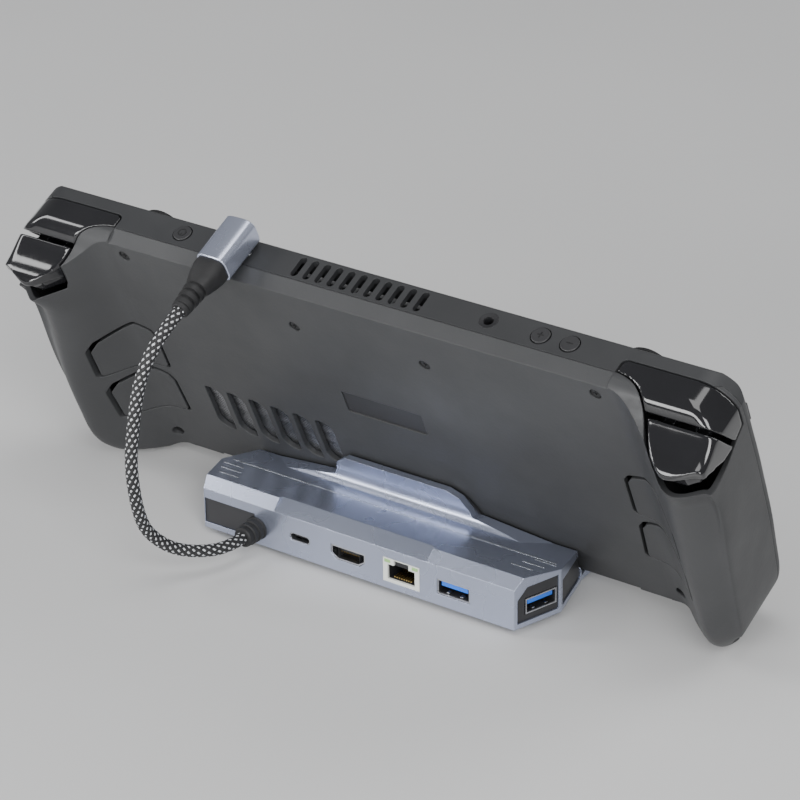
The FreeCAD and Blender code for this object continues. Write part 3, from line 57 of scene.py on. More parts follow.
# ------------------------------------------------------------------ places taken from the frame
joints = {joint["name"]: joint for joint in frame["joints"]}
X_AXIS = Vector((1, 0, 0))
HEIGHT_AXIS = Vector(joints["console_lift"]["axis"]).normalized()
DEPTH_AXIS = X_AXIS.cross(HEIGHT_AXIS) * -1
STICK_X, STICK_DEPTH, STICK_HEIGHT = 105.0, 7.6, 96.5
stick_place = Vector(joints["stick_right_up_down"]["pos_m"])
SEAT = stick_place - (X_AXIS * STICK_X + DEPTH_AXIS * STICK_DEPTH + HEIGHT_AXIS * STICK_HEIGHT) * MM
CONSOLE = Matrix((X_AXIS, DEPTH_AXIS, HEIGHT_AXIS)).transposed().to_4x4()
CONSOLE.translation = SEAT
dock_low, dock_high = (Vector(corner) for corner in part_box("dock_shell"))
DOCK = Matrix.Translation(Vector((0, dock_high.y, dock_low.z)))


def in_console(x, depth, height):
    """Console-frame millimetres to row-frame metres."""
    return CONSOLE @ (Vector((x, depth, height)) * MM)


def in_dock(x, y, z):
    """Dock-frame millimetres to row-frame metres."""
    return DOCK @ (Vector((x, y, z)) * MM)


# ------------------------------------------------------------------ camera
def look(name, place, right, up, lens):
    """Camera at a place, with its right and up directions and its focal length in millimetres."""
    data = bpy.data.cameras.new(name)
    data.lens = lens
    data.sensor_width = 36
    data.clip_end = 20
    camera = bpy.data.objects.new(name, data)
    bpy.context.scene.collection.objects.link(camera)
    back = right.cross(up)
    camera.matrix_world = Matrix((right, up, back)).transposed().to_4x4()
    camera.matrix_world.translation = place
    bpy.context.scene.camera = camera


AZIMUTH = math.radians(35.09)
ELEVATION = math.radians(27.19)
ROLL = math.radians(-0.85)
DISTANCE = 1.255
LENS = 155.97
TARGET = Vector((0.0001, dock_high.y - 0.030, 0.0619))
BACK = Vector((-math.sin(AZIMUTH) * math.cos(ELEVATION), math.cos(AZIMUTH) * math.cos(ELEVATION),
               math.sin(ELEVATION)))
LEVEL = Vector((-math.cos(AZIMUTH), -math.sin(AZIMUTH), 0))
RISE = BACK.cross(LEVEL)
look("camera", TARGET + BACK * DISTANCE, LEVEL * math.cos(ROLL) + RISE * math.sin(ROLL),
     RISE * math.cos(ROLL) - LEVEL * math.sin(ROLL), LENS)


# ------------------------------------------------------------------ node material helpers
class Shader:
    """A new Principled material and short ways to wire nodes into it."""

    def __init__(self, name, color, rough, metallic=0.0, specular=0.5, coat=0.0):
        self.material = bpy.data.materials.new(name)
        self.material.use_nodes = True
        self.tree = self.material.node_tree
        self.bsdf = self.tree.nodes["Principled BSDF"]
        self.set(self.bsdf, "Base Color", (*color, 1))
        self.set(self.bsdf, "Roughness", rough)
        self.set(self.bsdf, "Metallic", metallic)
        self.set(self.bsdf, "Specular IOR Level", specular)
        if coat:
            self.set(self.bsdf, "Coat Weight", coat)
            self.set(self.bsdf, "Coat Roughness", 0.08)
        self.place = self.node("ShaderNodeTexCoord").outputs["Object"]

    def node(self, kind):
        """A new node of a kind."""
        return self.tree.nodes.new(kind)

    def set(self, node, socket, value):
        """A constant value on a node's input."""
        node.inputs[socket].default_value = value

    def link(self, output, node, socket):
        """An output wired to a node's input."""
        self.tree.links.new(output, node.inputs[socket])

    def noise(self, scale, detail=4.0, rough=0.5, stretch=None):
        """Cloudy pattern, 0..1, which stretch may draw out along an axis."""
        node = self.node("ShaderNodeTexNoise")
        self.set(node, "Scale", scale)
        self.set(node, "Detail", detail)
        self.set(node, "Roughness", rough)
        source = self.place
        if stretch:
            mapping = self.node("ShaderNodeMapping")
            self.set(mapping, "Scale", stretch)
            self.link(self.place, mapping, "Vector")
            source = mapping.outputs["Vector"]
        self.link(source, node, "Vector")
        return node.outputs["Fac"]

    def cells(self, scale):
        """Cellular pattern, dark at the middle of each cell."""
        node = self.node("ShaderNodeTexVoronoi")
        self.set(node, "Scale", scale)
        self.link(self.place, node, "Vector")
        return node.outputs["Distance"]

    def span(self, value, low, high):
        """Maps the middle of a 0..1 pattern to low..high."""
        node = self.node("ShaderNodeMapRange")
        self.set(node, "From Min", 0.3)
        self.set(node, "From Max", 0.7)
        self.set(node, "To Min", low)
        self.set(node, "To Max", high)
        self.link(value, node, "Value")
        return node.outputs["Result"]

    def tint(self, pattern, dark, light):
        """Base colour between two tones by a pattern."""
        mix = self.node("ShaderNodeMix")
        mix.data_type = "RGBA"
        colours = [socket for socket in mix.inputs if socket.type == "RGBA"]
        colours[0].default_value = (*dark, 1)
        colours[1].default_value = (*light, 1)
        self.link(self.span(pattern, 0, 1), mix, "Factor")
        result = [socket for socket in mix.outputs if socket.type == "RGBA"][0]
        self.link(result, self.bsdf, "Base Color")

    def gloss(self, pattern, low, high):
        """Roughness between two values by a pattern."""
        self.link(self.span(pattern, low, high), self.bsdf, "Roughness")

    def bump(self, pattern, depth, strength=1.0):
        """Relief by a pattern, depth in metres, on top of any softened edges."""
        node = self.node("ShaderNodeBump")
        self.set(node, "Strength", strength)
        self.set(node, "Distance", depth)
        self.link(pattern, node, "Height")
        if self.bsdf.inputs["Normal"].is_linked:
            earlier = self.bsdf.inputs["Normal"].links[0].from_socket
            self.link(earlier, node, "Normal")
        self.link(node.outputs["Normal"], self.bsdf, "Normal")

    def soften_edges(self, radius):
        """Shades sharp edges as if they were rounded by a radius in metres."""
        node = self.node("ShaderNodeBevel")
        node.samples = 6
        self.set(node, "Radius", radius)
        self.link(node.outputs["Normal"], self.bsdf, "Normal")


def scaled(color, factor):
    return tuple(min(1.0, part * factor) for part in color)


def moulded(name, color, rough, grain=900.0, depth=0.00003, spread=0.12, edge=0.0003):
    """Moulded plastic: spark-eroded grain, faint cloudy tone, uneven sheen."""
    shader = Shader(name, color, rough)
    shader.soften_edges(edge)
    cloud = shader.noise(22.0, 3.0)
    shader.tint(cloud, scaled(color, 1 - spread), scaled(color, 1 + spread))
    shader.gloss(shader.noise(60.0, 5.0), rough - 0.05, rough + 0.06)
    shader.bump(shader.noise(grain, 2.0, 0.6), depth)
    return shader.material


def polished(name, color, rough=0.09):
    """Glossy plastic: deep black under a hard, slightly wavy surface."""
    shader = Shader(name, color, rough, coat=0.6)
    shader.tint(shader.noise(30.0, 2.0), scaled(color, 0.8), scaled(color, 1.2))
    shader.gloss(shader.noise(140.0, 4.0), rough * 0.7, rough * 1.5)
    shader.bump(shader.noise(55.0, 1.0), 0.00002, 0.5)
    return shader.material


def anodised(name, color, rough):
    """Bead-blasted anodised aluminium: satin, with a soft tonal drift."""
    shader = Shader(name, color, rough, metallic=0.85)
    shader.soften_edges(0.0003)
    shader.tint(shader.noise(12.0, 2.0), scaled(color, 0.95), scaled(color, 1.04))
    shader.gloss(shader.noise(40.0, 2.0), rough - 0.02, rough + 0.03)
    return shader.material


def sheet_metal(name, color, rough=0.3):
    """Bright plated sheet: drawn grain along X."""
    shader = Shader(name, color, rough, metallic=1.0)
    grain = shader.noise(400.0, 4.0, 0.6, stretch=(0.08, 1.0, 1.0))
    shader.tint(grain, scaled(color, 0.85), scaled(color, 1.05))
    shader.gloss(grain, rough - 0.08, rough + 0.12)
    shader.bump(grain, 0.00001, 0.6)
    return shader.material


def rubbery(name, color, rough=0.75):
    """Soft rubber: dull, with a close pore and faint dust in the tone."""
    shader = Shader(name, color, rough, specular=0.35)
    shader.tint(shader.noise(90.0, 6.0, 0.6), scaled(color, 0.75), scaled(color, 1.35))
    shader.gloss(shader.noise(260.0, 4.0), rough - 0.1, rough + 0.08)
    shader.bump(shader.cells(1500.0), 0.00002, 0.6)
    return shader.material


def board(name, color):
    """Solder-masked circuit board: traces show as faint bands."""
    shader = Shader(name, color, 0.35, specular=0.6)
    brick = shader.node("ShaderNodeTexBrick")
    shader.set(brick, "Scale", 260.0)
    shader.link(shader.place, brick, "Vector")
    shader.tint(brick.outputs["Fac"], scaled(color, 0.8), scaled(color, 1.8))
    shader.bump(brick.outputs["Fac"], 0.00003, 0.5)
    return shader.material


# base colours are linear
MATERIALS = {
    "front_plastic": moulded("front_plastic", (0.030, 0.031, 0.033), 0.48),
    "cover_plastic": moulded("cover_plastic", (0.040, 0.041, 0.043), 0.46, grain=700.0, depth=0.00004,
                             edge=0.0007),
    "gloss_black": polished("gloss_black", (0.012, 0.012, 0.0135)),
    "control_plastic": moulded("control_plastic", (0.026, 0.026, 0.028), 0.42, grain=1200.0, depth=0.00002),
    "stick_rubber": rubbery("stick_rubber", (0.022, 0.022, 0.023)),
    "screen_glass": polished("screen_glass", (0.010, 0.010, 0.012), 0.16),
    "display_black": polished("display_black", (0.006, 0.006, 0.008), 0.3),
    "dock_metal": anodised("dock_metal", (0.47, 0.51, 0.64), 0.27),
    "plug_metal": anodised("plug_metal", (0.56, 0.60, 0.74), 0.27),
    "dock_dark": moulded("dock_dark", (0.028, 0.028, 0.031), 0.38, grain=1000.0),
    "soft_black": rubbery("soft_black", (0.018, 0.018, 0.019), 0.6),
    "port_metal": sheet_metal("port_metal", (0.60, 0.61, 0.64)),
    "port_black": moulded("port_black", (0.014, 0.014, 0.016), 0.5),
    "port_white": moulded("port_white", (0.70, 0.72, 0.68), 0.4, spread=0.04),
    "board_green": board("board_green", (0.012, 0.07, 0.035)),
    "inner_metal": sheet_metal("inner_metal", (0.55, 0.55, 0.56), 0.38),
    "dark_metal": moulded("dark_metal", (0.006, 0.006, 0.007), 0.4, grain=1500.0),
    "usb_blue": moulded("usb_blue", (0.02, 0.16, 0.72), 0.32, spread=0.08),
    "gold": sheet_metal("gold", (0.78, 0.55, 0.20), 0.25),
    "led_green": moulded("led_green", (0.30, 0.52, 0.20), 0.3, spread=0.06),
    # a much lighter copy of the dock's anodised metal for the cut lines: partly the bare cut metal, partly a
    # painted glint
    "cut_edge": anodised("cut_edge", (0.80, 0.84, 0.92), 0.22),
    "mesh_steel": sheet_metal("mesh_steel", (0.50, 0.50, 0.52), 0.38),
    "icon_ink": moulded("icon_ink", (0.006, 0.006, 0.007), 0.5),
}


# ------------------------------------------------------------------ mesh helpers
RING_STEPS = 48


def finished(work, name):
    """The mesh of a finished bmesh."""
    mesh = bpy.data.meshes.new(name)
    work.to_mesh(mesh)
    work.free()
    return mesh


def skin(work, rings, capped=True):
    """Faces between neighbouring rings of as many points, and on the two ends."""
    steps = len(rings[0])
    for first, second in zip(rings, rings[1:]):
        for step in range(steps):
            after = (step + 1) % steps
            work.faces.new((first[step], first[after], second[after], second[step]))
    if capped:
        work.faces.new(rings[0][::-1])
        work.faces.new(rings[-1])


def turned_ring(work, frame_matrix, radius, depth):
    """Round ring about the frame's Y axis, in millimetres."""
    ring = []
    for step in range(RING_STEPS):
        angle = 2 * math.pi * step / RING_STEPS
        spot = Vector((radius * math.cos(angle), depth, radius * math.sin(angle)))
        ring.append(work.verts.new(frame_matrix @ (spot * MM)))
    return ring


def small_block(work, place, size):
    """Block of a size in millimetres, middle and turn given by a matrix."""
    made = bmesh.ops.create_cube(work, size=1.0)["verts"]
    shape = Matrix.Diagonal((*[side * MM for side in size], 1))
    bmesh.ops.transform(work, matrix=place @ shape, verts=made)


def soften(work, width):
    """Small rounded edges, in millimetres, all over a bmesh."""
    bmesh.ops.bevel(work, geom=work.edges[:], offset=width * MM, segments=2, affect="EDGES", profile=0.5)


def add(name, mesh, material, body, smooth=True):
    """Links a mesh as a piece that rides on a body."""
    piece = bpy.data.objects.new(name, mesh)
    bpy.context.scene.collection.objects.link(piece)
    mesh.materials.append(MATERIALS[material])
    if smooth:
        mesh.shade_smooth()
        mesh.set_sharp_from_angle(angle=math.radians(32))
    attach(piece, body)
    return piece


def bake_modifiers(piece):
    """Replaces a piece's mesh by the one its modifiers give."""
    graph = bpy.context.evaluated_depsgraph_get()
    result = bpy.data.meshes.new_from_object(piece.evaluated_get(graph))
    piece.modifiers.clear()
    piece.data = result


def boxes(name, frame_matrix, items, material, body, bevel=0.0):
    """One mesh of several small blocks: each item is (middle, size), in millimetres."""
    work = bmesh.new()
    for middle, size in items:
        small_block(work, frame_matrix @ Matrix.Translation(Vector(middle) * MM), size)
    if bevel:
        soften(work, bevel)
    return add(name, finished(work, name), material, body)


def lathe(name, frame_matrix, profile, material, body):
    """Solid of revolution about the frame's Y axis; profile pairs are (radius, depth) in millimetres."""
    work = bmesh.new()
    skin(work, [turned_ring(work, frame_matrix, radius, depth) for radius, depth in profile])
    bmesh.ops.recalc_face_normals(work, faces=work.faces)
    return add(name, finished(work, name), material, body)


slot_of = {part["node"]: part["material_slot"] for part in frame["record"]["subparts"]}
body_of = {node: body for body, nodes in frame["record"]["behaviour"]["bodies"].items() for node in nodes}

# every CAD node starts with its slot's material, apart from the cable, which the braid replaces
for node, piece in frame["nodes"].items():
    slot = slot_of[node]
    if slot in MATERIALS:
        piece.data.materials.clear()
        piece.data.materials.append(MATERIALS[slot])


# ------------------------------------------------------------------ cable
# the route's points repeat those of the CAD tube
CABLE_DIAMETER = 4.8
PLUG_X, BOOT_END, PLUG_MIDDLE = 53.0, 44.0, 123.4
GLAND_X, GLAND_FACE, GLAND_Z = 44.5, 9.0, 6.6
CABLE_ROUTE = [
    in_console(PLUG_X, BOOT_END, PLUG_MIDDLE),
    in_console(PLUG_X, BOOT_END + 11.0, PLUG_MIDDLE),
    in_dock(54.5, 46.2, 92.5),
    in_dock(56.6, 49.8, 81.7),
    in_dock(58.1, 53.2, 59.9),
    in_dock(57.7, 54.1, 48.1),
    in_dock(58.9, 50.0, 31.1),
    in_dock(60.3, 43.3, 19.4),
    in_dock(55.5, 34.6, 10.2),
    in_dock(47.7, 24.0, 7.1),
    in_dock(GLAND_X, GLAND_FACE + 5.6, GLAND_Z),
    in_dock(GLAND_X, GLAND_FACE, GLAND_Z),
]


def smooth_line(points):
    """Points along the NURBS spline whose control points are the route."""
    curve = bpy.data.curves.new("cable_line", "CURVE")
    curve.dimensions = "3D"
    spline = curve.splines.new("NURBS")
    spline.points.add(len(points) - 1)
    for point, place in zip(spline.points, points):
        point.co = (*place, 1)
    spline.order_u = 3
    spline.use_endpoint_u = True
    spline.resolution_u = 24
    holder = bpy.data.objects.new("cable_line", curve)
    bpy.context.scene.collection.objects.link(holder)
    bpy.context.view_layer.update()
    mesh = bpy.data.meshes.new_from_object(holder)
    line = [vertex.co.copy() for vertex in mesh.vertices]
    bpy.data.objects.remove(holder)
    bpy.data.meshes.remove(mesh)
    return line


def even_steps(line, step):
    """The same line as points a fixed distance apart."""
    total = sum((b - a).length for a, b in zip(line, line[1:]))
    count = max(8, round(total / step))
    wanted = [total * number / count for number in range(count + 1)]
    result = []
    travelled = 0.0
    index = 0
    for goal in wanted:
        while index < len(line) - 2 and travelled + (line[index + 1] - line[index]).length < goal:
            travelled += (line[index + 1] - line[index]).length
            index += 1
        part = line[index + 1] - line[index]
        share = 0 if part.length == 0 else min(1.0, (goal - travelled) / part.length)
        result.append(line[index] + part * share)
    return result, total


def carried_frames(line):
    """A direction across the line at each point, carried along without twist."""
    across = []
    side = (line[1] - line[0]).normalized().orthogonal().normalized()
    for number in range(len(line)):
        before = line[max(0, number - 1)]
        after = line[min(len(line) - 1, number + 1)]
        ahead = (after - before).normalized()
        side = (side - ahead * side.dot(ahead)).normalized()
        across.append((side.copy(), ahead.cross(side).normalized()))
    return across


# the weave: strands of each hand, turns per metre, and millimetres
BRAID_STRANDS = 12
BRAID_TURNS = 42.0
STRAND_WIDTH = 0.98
STRAND_RISE = 0.13
STRAND_BURIED = 0.05
PALE_SHARE = 0.84
PALE_SINK = 0.03
CORE_INSET = 0.36
BRAID_STEP = 0.35


def tube(work, line, frames, radius):
    """Closed round tube of one radius along a line."""
    sides = 20
    rings = []
    for point, (side, other) in zip(line, frames):
        ring = []
        for step in range(sides):
            angle = 2 * math.pi * step / sides
            ring.append(work.verts.new(point + (side * math.cos(angle) + other * math.sin(angle)) * radius))
        rings.append(ring)
    skin(work, rings)


def strand(work, line, frames, travelled, hand, number):
    """One flat yarn wound round the line, rising over and dipping under the yarns of the other hand."""
    radius = CABLE_DIAMETER / 2 * MM
    middle = radius - (STRAND_RISE + STRAND_BURIED) * MM
    lean = math.atan(2 * math.pi * BRAID_TURNS * radius)
    section = ((-1.0, 0.22), (-0.55, 0.04), (0.0, 0.0), (0.55, 0.04), (1.0, 0.22))
    pale = hand == 1 and number % 2 == 0
    width = STRAND_WIDTH * (PALE_SHARE if pale else 1.0)
    if pale:
        middle -= PALE_SINK * MM
    previous = None
    for point, (side, other), along in zip(line, frames, travelled):
        angle = 2 * math.pi * (number / BRAID_STRANDS + hand * BRAID_TURNS * along)
        wave = hand * math.cos(2 * math.pi * BRAID_TURNS * BRAID_STRANDS * along)
        out = side * math.cos(angle) + other * math.sin(angle)
        round_way = other * math.cos(angle) - side * math.sin(angle)
        ahead = out.cross(round_way).normalized()
        flat = (round_way * math.cos(lean) - ahead * math.sin(lean) * hand).normalized()
        level = middle + STRAND_RISE * MM * wave
        row = []
        for share, drop in section:
            row.append(work.verts.new(point + out * (level - drop * MM) + flat * width * MM / 2 * share))
        if previous:
            for low in range(len(section) - 1):
                face = work.faces.new((previous[low], previous[low + 1], row[low + 1], row[low]))
                face.material_index = 1 if pale else 0
        previous = row


def braid(line):
    """Round core under two sets of yarns wound in opposite hands; every second yarn of one set is pale."""
    frames = carried_frames(line)
    travelled = [0.0]
    for a, b in zip(line, line[1:]):
        travelled.append(travelled[-1] + (b - a).length)
    work = bmesh.new()
    tube(work, line, frames, (CABLE_DIAMETER / 2 - CORE_INSET) * MM)
    for hand in (1, -1):
        for number in range(BRAID_STRANDS):
            strand(work, line, frames, travelled, hand, number)
    return finished(work, "dock_cable_braid")


def woven(name, color, rough):
    """Spun nylon yarn: fine lengthwise fibres."""
    shader = Shader(name, color, rough, specular=0.4)
    shader.tint(shader.noise(1800.0, 3.0), scaled(color, 0.7), scaled(color, 1.3))
    shader.bump(shader.noise(3200.0, 2.0), 0.00004, 0.7)
    return shader.material


MATERIALS["cord_braid"] = woven("cord_braid", (0.020, 0.020, 0.021), 0.55)
MATERIALS["cord_fleck"] = woven("cord_fleck", (0.55, 0.56, 0.58), 0.5)


def build_cable():
    """The braid on the smoothed route, which stands for the plain tube."""
    line, total = even_steps(smooth_line(CABLE_ROUTE), BRAID_STEP * MM)
    mesh = braid(line)
    mesh.materials.append(MATERIALS["cord_braid"])
    mesh.materials.append(MATERIALS["cord_fleck"])
    cable = bpy.data.objects.new("dock_cable_braid", mesh)
    bpy.context.scene.collection.objects.link(cable)
    mesh.shade_smooth()
    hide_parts("dock_cable")
    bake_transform(cable)


# ------------------------------------------------------------------ plug
def super_ring(work, matrix, x, depth, z, half_x, half_z, power):
    """Ring of a rounded-rectangle section across the console frame's depth axis."""
    ring = []
    for step in range(RING_STEPS):
        angle = 2 * math.pi * step / RING_STEPS
        across, up = math.cos(angle), math.sin(angle)
        aside = math.copysign(abs(across) ** (2 / power), across) * half_x
        rise = math.copysign(abs(up) ** (2 / power), up) * half_z
        ring.append(work.verts.new(matrix @ (Vector((x + aside, depth, z + rise)) * MM)))
    return ring


def lofted(name, matrix, sections, material, body):
    """Skin through rounded-rectangle sections: (x, depth, z, half x, half z, power)."""
    work = bmesh.new()
    skin(work, [super_ring(work, matrix, *section) for section in sections])
    bmesh.ops.recalc_face_normals(work, faces=work.faces)
    return add(name, finished(work, name), material, body)


def build_plug():
    """Angled plug: extruded metal sleeve, soft boot that swells, tapers and ends in ribs."""
    start = 22.0
    half_x, half_z = 6.5, 5.8
    x, z = PLUG_X, PLUG_MIDDLE
    sleeve = [
        (x, 1.5, z, half_x - 1.2, half_z - 1.2, 3.2),
        (x, 1.6, z, half_x - 0.4, half_z - 0.4, 3.4),
        (x, 2.0, z, half_x, half_z, 3.6),
        (x, start - 0.35, z, half_x, half_z, 3.6),
        (x, start - 0.05, z, half_x - 0.3, half_z - 0.3, 3.6),
        (x, start, z, half_x - 0.9, half_z - 0.9, 3.6),
    ]
    hard = lofted("plug_sleeve", CONSOLE, sleeve, "plug_metal", "plug")
    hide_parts("plug_shell")
    boot = [(x, start - 0.6, z, 5.4, 4.7, 3.4)]
    swell = [(0.0, 5.9, 5.2, 3.4), (0.8, 6.1, 5.35, 3.3), (3.0, 6.1, 5.3, 3.1), (6.0, 5.6, 4.95, 2.8),
             (9.0, 4.8, 4.4, 2.5), (10.6, 4.3, 4.1, 2.3)]
    boot += [(x, start + along, z, wide, tall, power) for along, wide, tall, power in swell]
    rib_start, rib_pitch, rib_radius, rib_taper, groove = 10.9, 3.1, 4.15, 0.25, 0.75
    for rib in range(3):
        at = start + rib_start + rib_pitch * rib
        size = rib_radius - rib_taper * rib
        boot += [(x, at, z, size - groove, size - groove, 2.1),
                 (x, at + 0.9, z, size - groove, size - groove, 2.1),
                 (x, at + 1.05, z, size, size, 2.1),
                 (x, at + 2.85, z, size - 0.1, size - 0.1, 2.1)]
    last = start + rib_start + 3 * rib_pitch + 0.1
    boot += [(x, last, z, 3.0, 3.0, 2.0), (x, last + 0.2, z, 3.5, 3.5, 2.0),
             (x, BOOT_END - 0.2, z, 3.3, 3.3, 2.0), (x, BOOT_END, z, 3.0, 3.0, 2.0)]
    soft = lofted("plug_boot_ribbed", CONSOLE, boot, "soft_black", "plug")
    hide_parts("plug_boot")
    return [hard, soft, frame["nodes"]["plug_tip"]]


plug_pieces = build_plug()
build_cable()


def build_gland():
    """Flared collar where the cable leaves the dock."""
    place = Matrix.Translation(in_dock(GLAND_X, 0, GLAND_Z))
    profile = [(2.6, -2.9), (4.5, -2.9), (4.5, 0.6), (4.1, 0.9), (4.1, 1.4), (4.45, 1.7),
               (4.4, 3.4), (3.9, 3.7), (3.9, 4.2), (4.3, 4.5), (4.2, 6.0), (3.75, 6.3),
               (3.7, 6.8), (4.0, 7.1), (3.85, 8.5), (3.4, 9.0), (2.6, 9.0)]
    collar = lathe("cable_gland_collar", place, profile, "soft_black", "dock")
    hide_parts("cable_gland")


build_gland()


# ------------------------------------------------------------------ soft-edged shoulder pieces
def softened(node, voxel, passes):
    """A remeshed and smoothed copy of a CAD node, with every edge rounded, which stands for the node."""
    piece = bpy.data.objects.new(node + "_soft", frame["nodes"][node].data.copy())
    bpy.context.scene.collection.objects.link(piece)
    remesh = piece.modifiers.new("remesh", "REMESH")
    remesh.mode = "VOXEL"
    remesh.voxel_size = voxel * MM
    remesh.use_smooth_shade = True
    smooth = piece.modifiers.new("smooth", "SMOOTH")
    smooth.factor = 0.5
    smooth.iterations = passes
    bake_modifiers(piece)
    slot = slot_of[node]
    piece.data.materials.clear()
    piece.data.materials.append(MATERIALS[slot])
    piece.data.shade_smooth()
    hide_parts(node)
    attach(piece, body_of[node])
    return piece


SHOULDER_VOXEL, BUMPER_PASSES, TRIGGER_PASSES = 0.4, 12, 14
for side in ("right", "left"):
    softened(f"bumper_{side}", SHOULDER_VOXEL, BUMPER_PASSES)
    softened(f"trigger_{side}", SHOULDER_VOXEL, TRIGGER_PASSES)


# ------------------------------------------------------------------ ports of the dock
PORT_HEIGHT = 7.7
USB_C_X, HDMI_X, ETHERNET_X, USB_A_X = 24.8, 3.2, -20.4, -42.9


def port_frame(x):
    """Frame at a rear port: Y runs into the dock, Z is up."""
    return Matrix.Translation(in_dock(x, 0, PORT_HEIGHT)) @ Matrix.Rotation(math.pi, 4, "Z")


def side_port_frame():
    """Frame at the port in the -X end, 58 % along the facet from the rear corner to the ridge."""
    rear_x, ridge_x, ridge_y, share = 68.8, 75.6, 20.3, 0.58
    place = in_dock(-(rear_x + (ridge_x - rear_x) * share), -ridge_y * share, PORT_HEIGHT)
    inward = Vector((ridge_y, rear_x - ridge_x, 0)).normalized()
    across = inward.cross(Vector((0, 0, 1)))
    turned = Matrix((across, inward, Vector((0, 0, 1)))).transposed().to_4x4()
    turned.translation = place
    return turned


def port_well(name, place, wide, tall, deep, lift=0.0):
    """Dark lining of a socket: four thin walls and a back."""
    wall, back, mouth = 0.16, 0.3, 0.8
    middle = deep / 2 + mouth
    items = [
        ((0, middle, lift - tall / 2), (wide, deep, wall)),
        ((0, middle, lift + tall / 2), (wide, deep, wall)),
        ((-wide / 2, middle, lift), (wall, deep, tall)),
        ((wide / 2, middle, lift), (wall, deep, tall)),
        ((0, deep + 0.7, lift), (wide, back, tall)),
    ]
    boxes(name, place, items, "port_black", "dock")


def usb_socket(name, place):
    """Blue tongue with its five contacts, a dark well and two springs in the floor of the sleeve."""
    port_well(name + "_well", place, 12.8, 4.9, 10.0)
    boxes(name + "_tongue", place, [((0, 6.0, 1.3), (11.3, 10.0, 2.1))], "usb_blue", "dock", bevel=0.15)
    contacts = [((2.2 * step, 4.6, 0.2), (0.9, 6.6, 0.16)) for step in range(-2, 3)]
    springs = [((2.9 * step, 1.9, -2.1), (1.3, 1.8, 0.5)) for step in (-1, 1)]
    boxes(name + "_contacts", place, contacts, "gold", "dock")
    boxes(name + "_springs", place, springs, "port_metal", "dock", bevel=0.12)


def network_socket():
    """Dark mouth with a comb of pins, and two green lights in the upper corners of the white housing."""
    place = port_frame(ETHERNET_X)
    port_well("network_well", place, 11.6, 5.8, 11.6, -0.6)
    boxes("network_latch_well", place, [((0, 6.6, 3.35), (6.2, 11.6, 1.9))], "port_black", "dock")
    pins = [((1.02 * (step - 3.5), 5.2, -2.7), (0.42, 8.4, 0.5)) for step in range(8)]
    boxes("network_pins", place, pins, "gold", "dock")
    lights = [((6.0 * side, -0.1, 3.75), (2.6, 0.3, 1.3)) for side in (-1, 1)]
    boxes("network_lights", place, lights, "led_green", "dock", bevel=0.1)


def video_socket():
    """Dark well round a flat tongue with a row of contacts."""
    place = port_frame(HDMI_X)
    port_well("video_well", place, 9.2, 4.9, 9.4)
    boxes("video_tongue", place, [((0, 6.4, 0.95), (10.6, 9.2, 1.5))], "port_black", "dock", bevel=0.12)
    contacts = [((1.3 * step, 4.0, 0.12), (0.6, 4.6, 0.14)) for step in range(-3, 4)]
    boxes("video_contacts", place, contacts, "gold", "dock")


def small_socket():
    """Thin tongue in the oval mouth, with its contacts and the dark back."""
    place = port_frame(USB_C_X)
    tongue = [((0, 4.4, 0.5), (6.7, 5.4, 0.8))]
    boxes("small_socket_tongue", place, tongue, "port_black", "dock", bevel=0.12)
    boxes("small_socket_back", place, [((0, 6.6, 0.5), (7.9, 0.3, 2.4))], "port_black", "dock")
    contacts = [((0.9 * step, 2.6, 0.95), (0.4, 1.6, 0.1)) for step in range(-3, 4)]
    boxes("small_socket_contacts", place, contacts, "gold", "dock")


usb_socket("rear_usb", port_frame(USB_A_X))
usb_socket("side_usb", side_port_frame())
network_socket()
video_socket()
small_socket()


# ------------------------------------------------------------------ cut lines in the dock's top, as bright strips with a painted glint
TOP_EDGE_Y, TOP_EDGE_Z, TOP_FALL = 4.2, 19.9, 0.1465
LINE_WIDE, LINE_DEEP, LINE_STANDS = 0.7, 0.42, 0.11


def dock_top(y):
    """Height of the sloping top, y forward of the rear face."""
    return TOP_EDGE_Z - TOP_FALL * (y - TOP_EDGE_Y)


def groove_glint_lines():
    """Bright cut lines, partly the bare cut metal and partly a painted glint: one along the ridge, and three
    staggered short ones near each end.
    """
    ridge_reach, ridge_y = 72.0, 23.0
    short_from, short_to, stagger = 59.5, 68.6, 2.2
    first_y, pitch_y, left_shift = 9.6, 4.4, 3.0
    lines = [(-ridge_reach, ridge_reach, ridge_y)]
    for number in range(3):
        y = first_y + pitch_y * number
        shift = stagger * number
        lines.append((short_from + shift, short_to + shift, y))
        lines.append((-short_to - shift, -short_from - shift, y + left_shift))
    items = []
    for start, stop, y in lines:
        middle = ((start + stop) / 2, LINE_WIDE / 2 - y, dock_top(y) + LINE_STANDS - LINE_DEEP / 2)
        items.append((middle, (stop - start, LINE_WIDE, LINE_DEEP)))
    # strips a little proud of the top, lighter than the dock: the cut metal's own tone with a painted glint on it
    boxes("dock_cut_line_glints", DOCK, items, "cut_edge", "dock")


groove_glint_lines()


# ------------------------------------------------------------------ console details
# millimetres in the console's frame
DEPTH, WALL, HEIGHT = 18.5, 2.2, 117.0
BEHIND_COVER = 0.35
TOP_KEY_DEPTH, TOP_KEY_STANDS = 6.6, 0.5
POWER_X, VOLUME_UP_X, VOLUME_DOWN_X, JACK_X = 79.6, -74.2, -85.9, -53.0
MARK_LONG, MARK_WIDE, MARK_THICK = 2.6, 0.5, 0.08
MARK_LEVEL = HEIGHT + TOP_KEY_STANDS


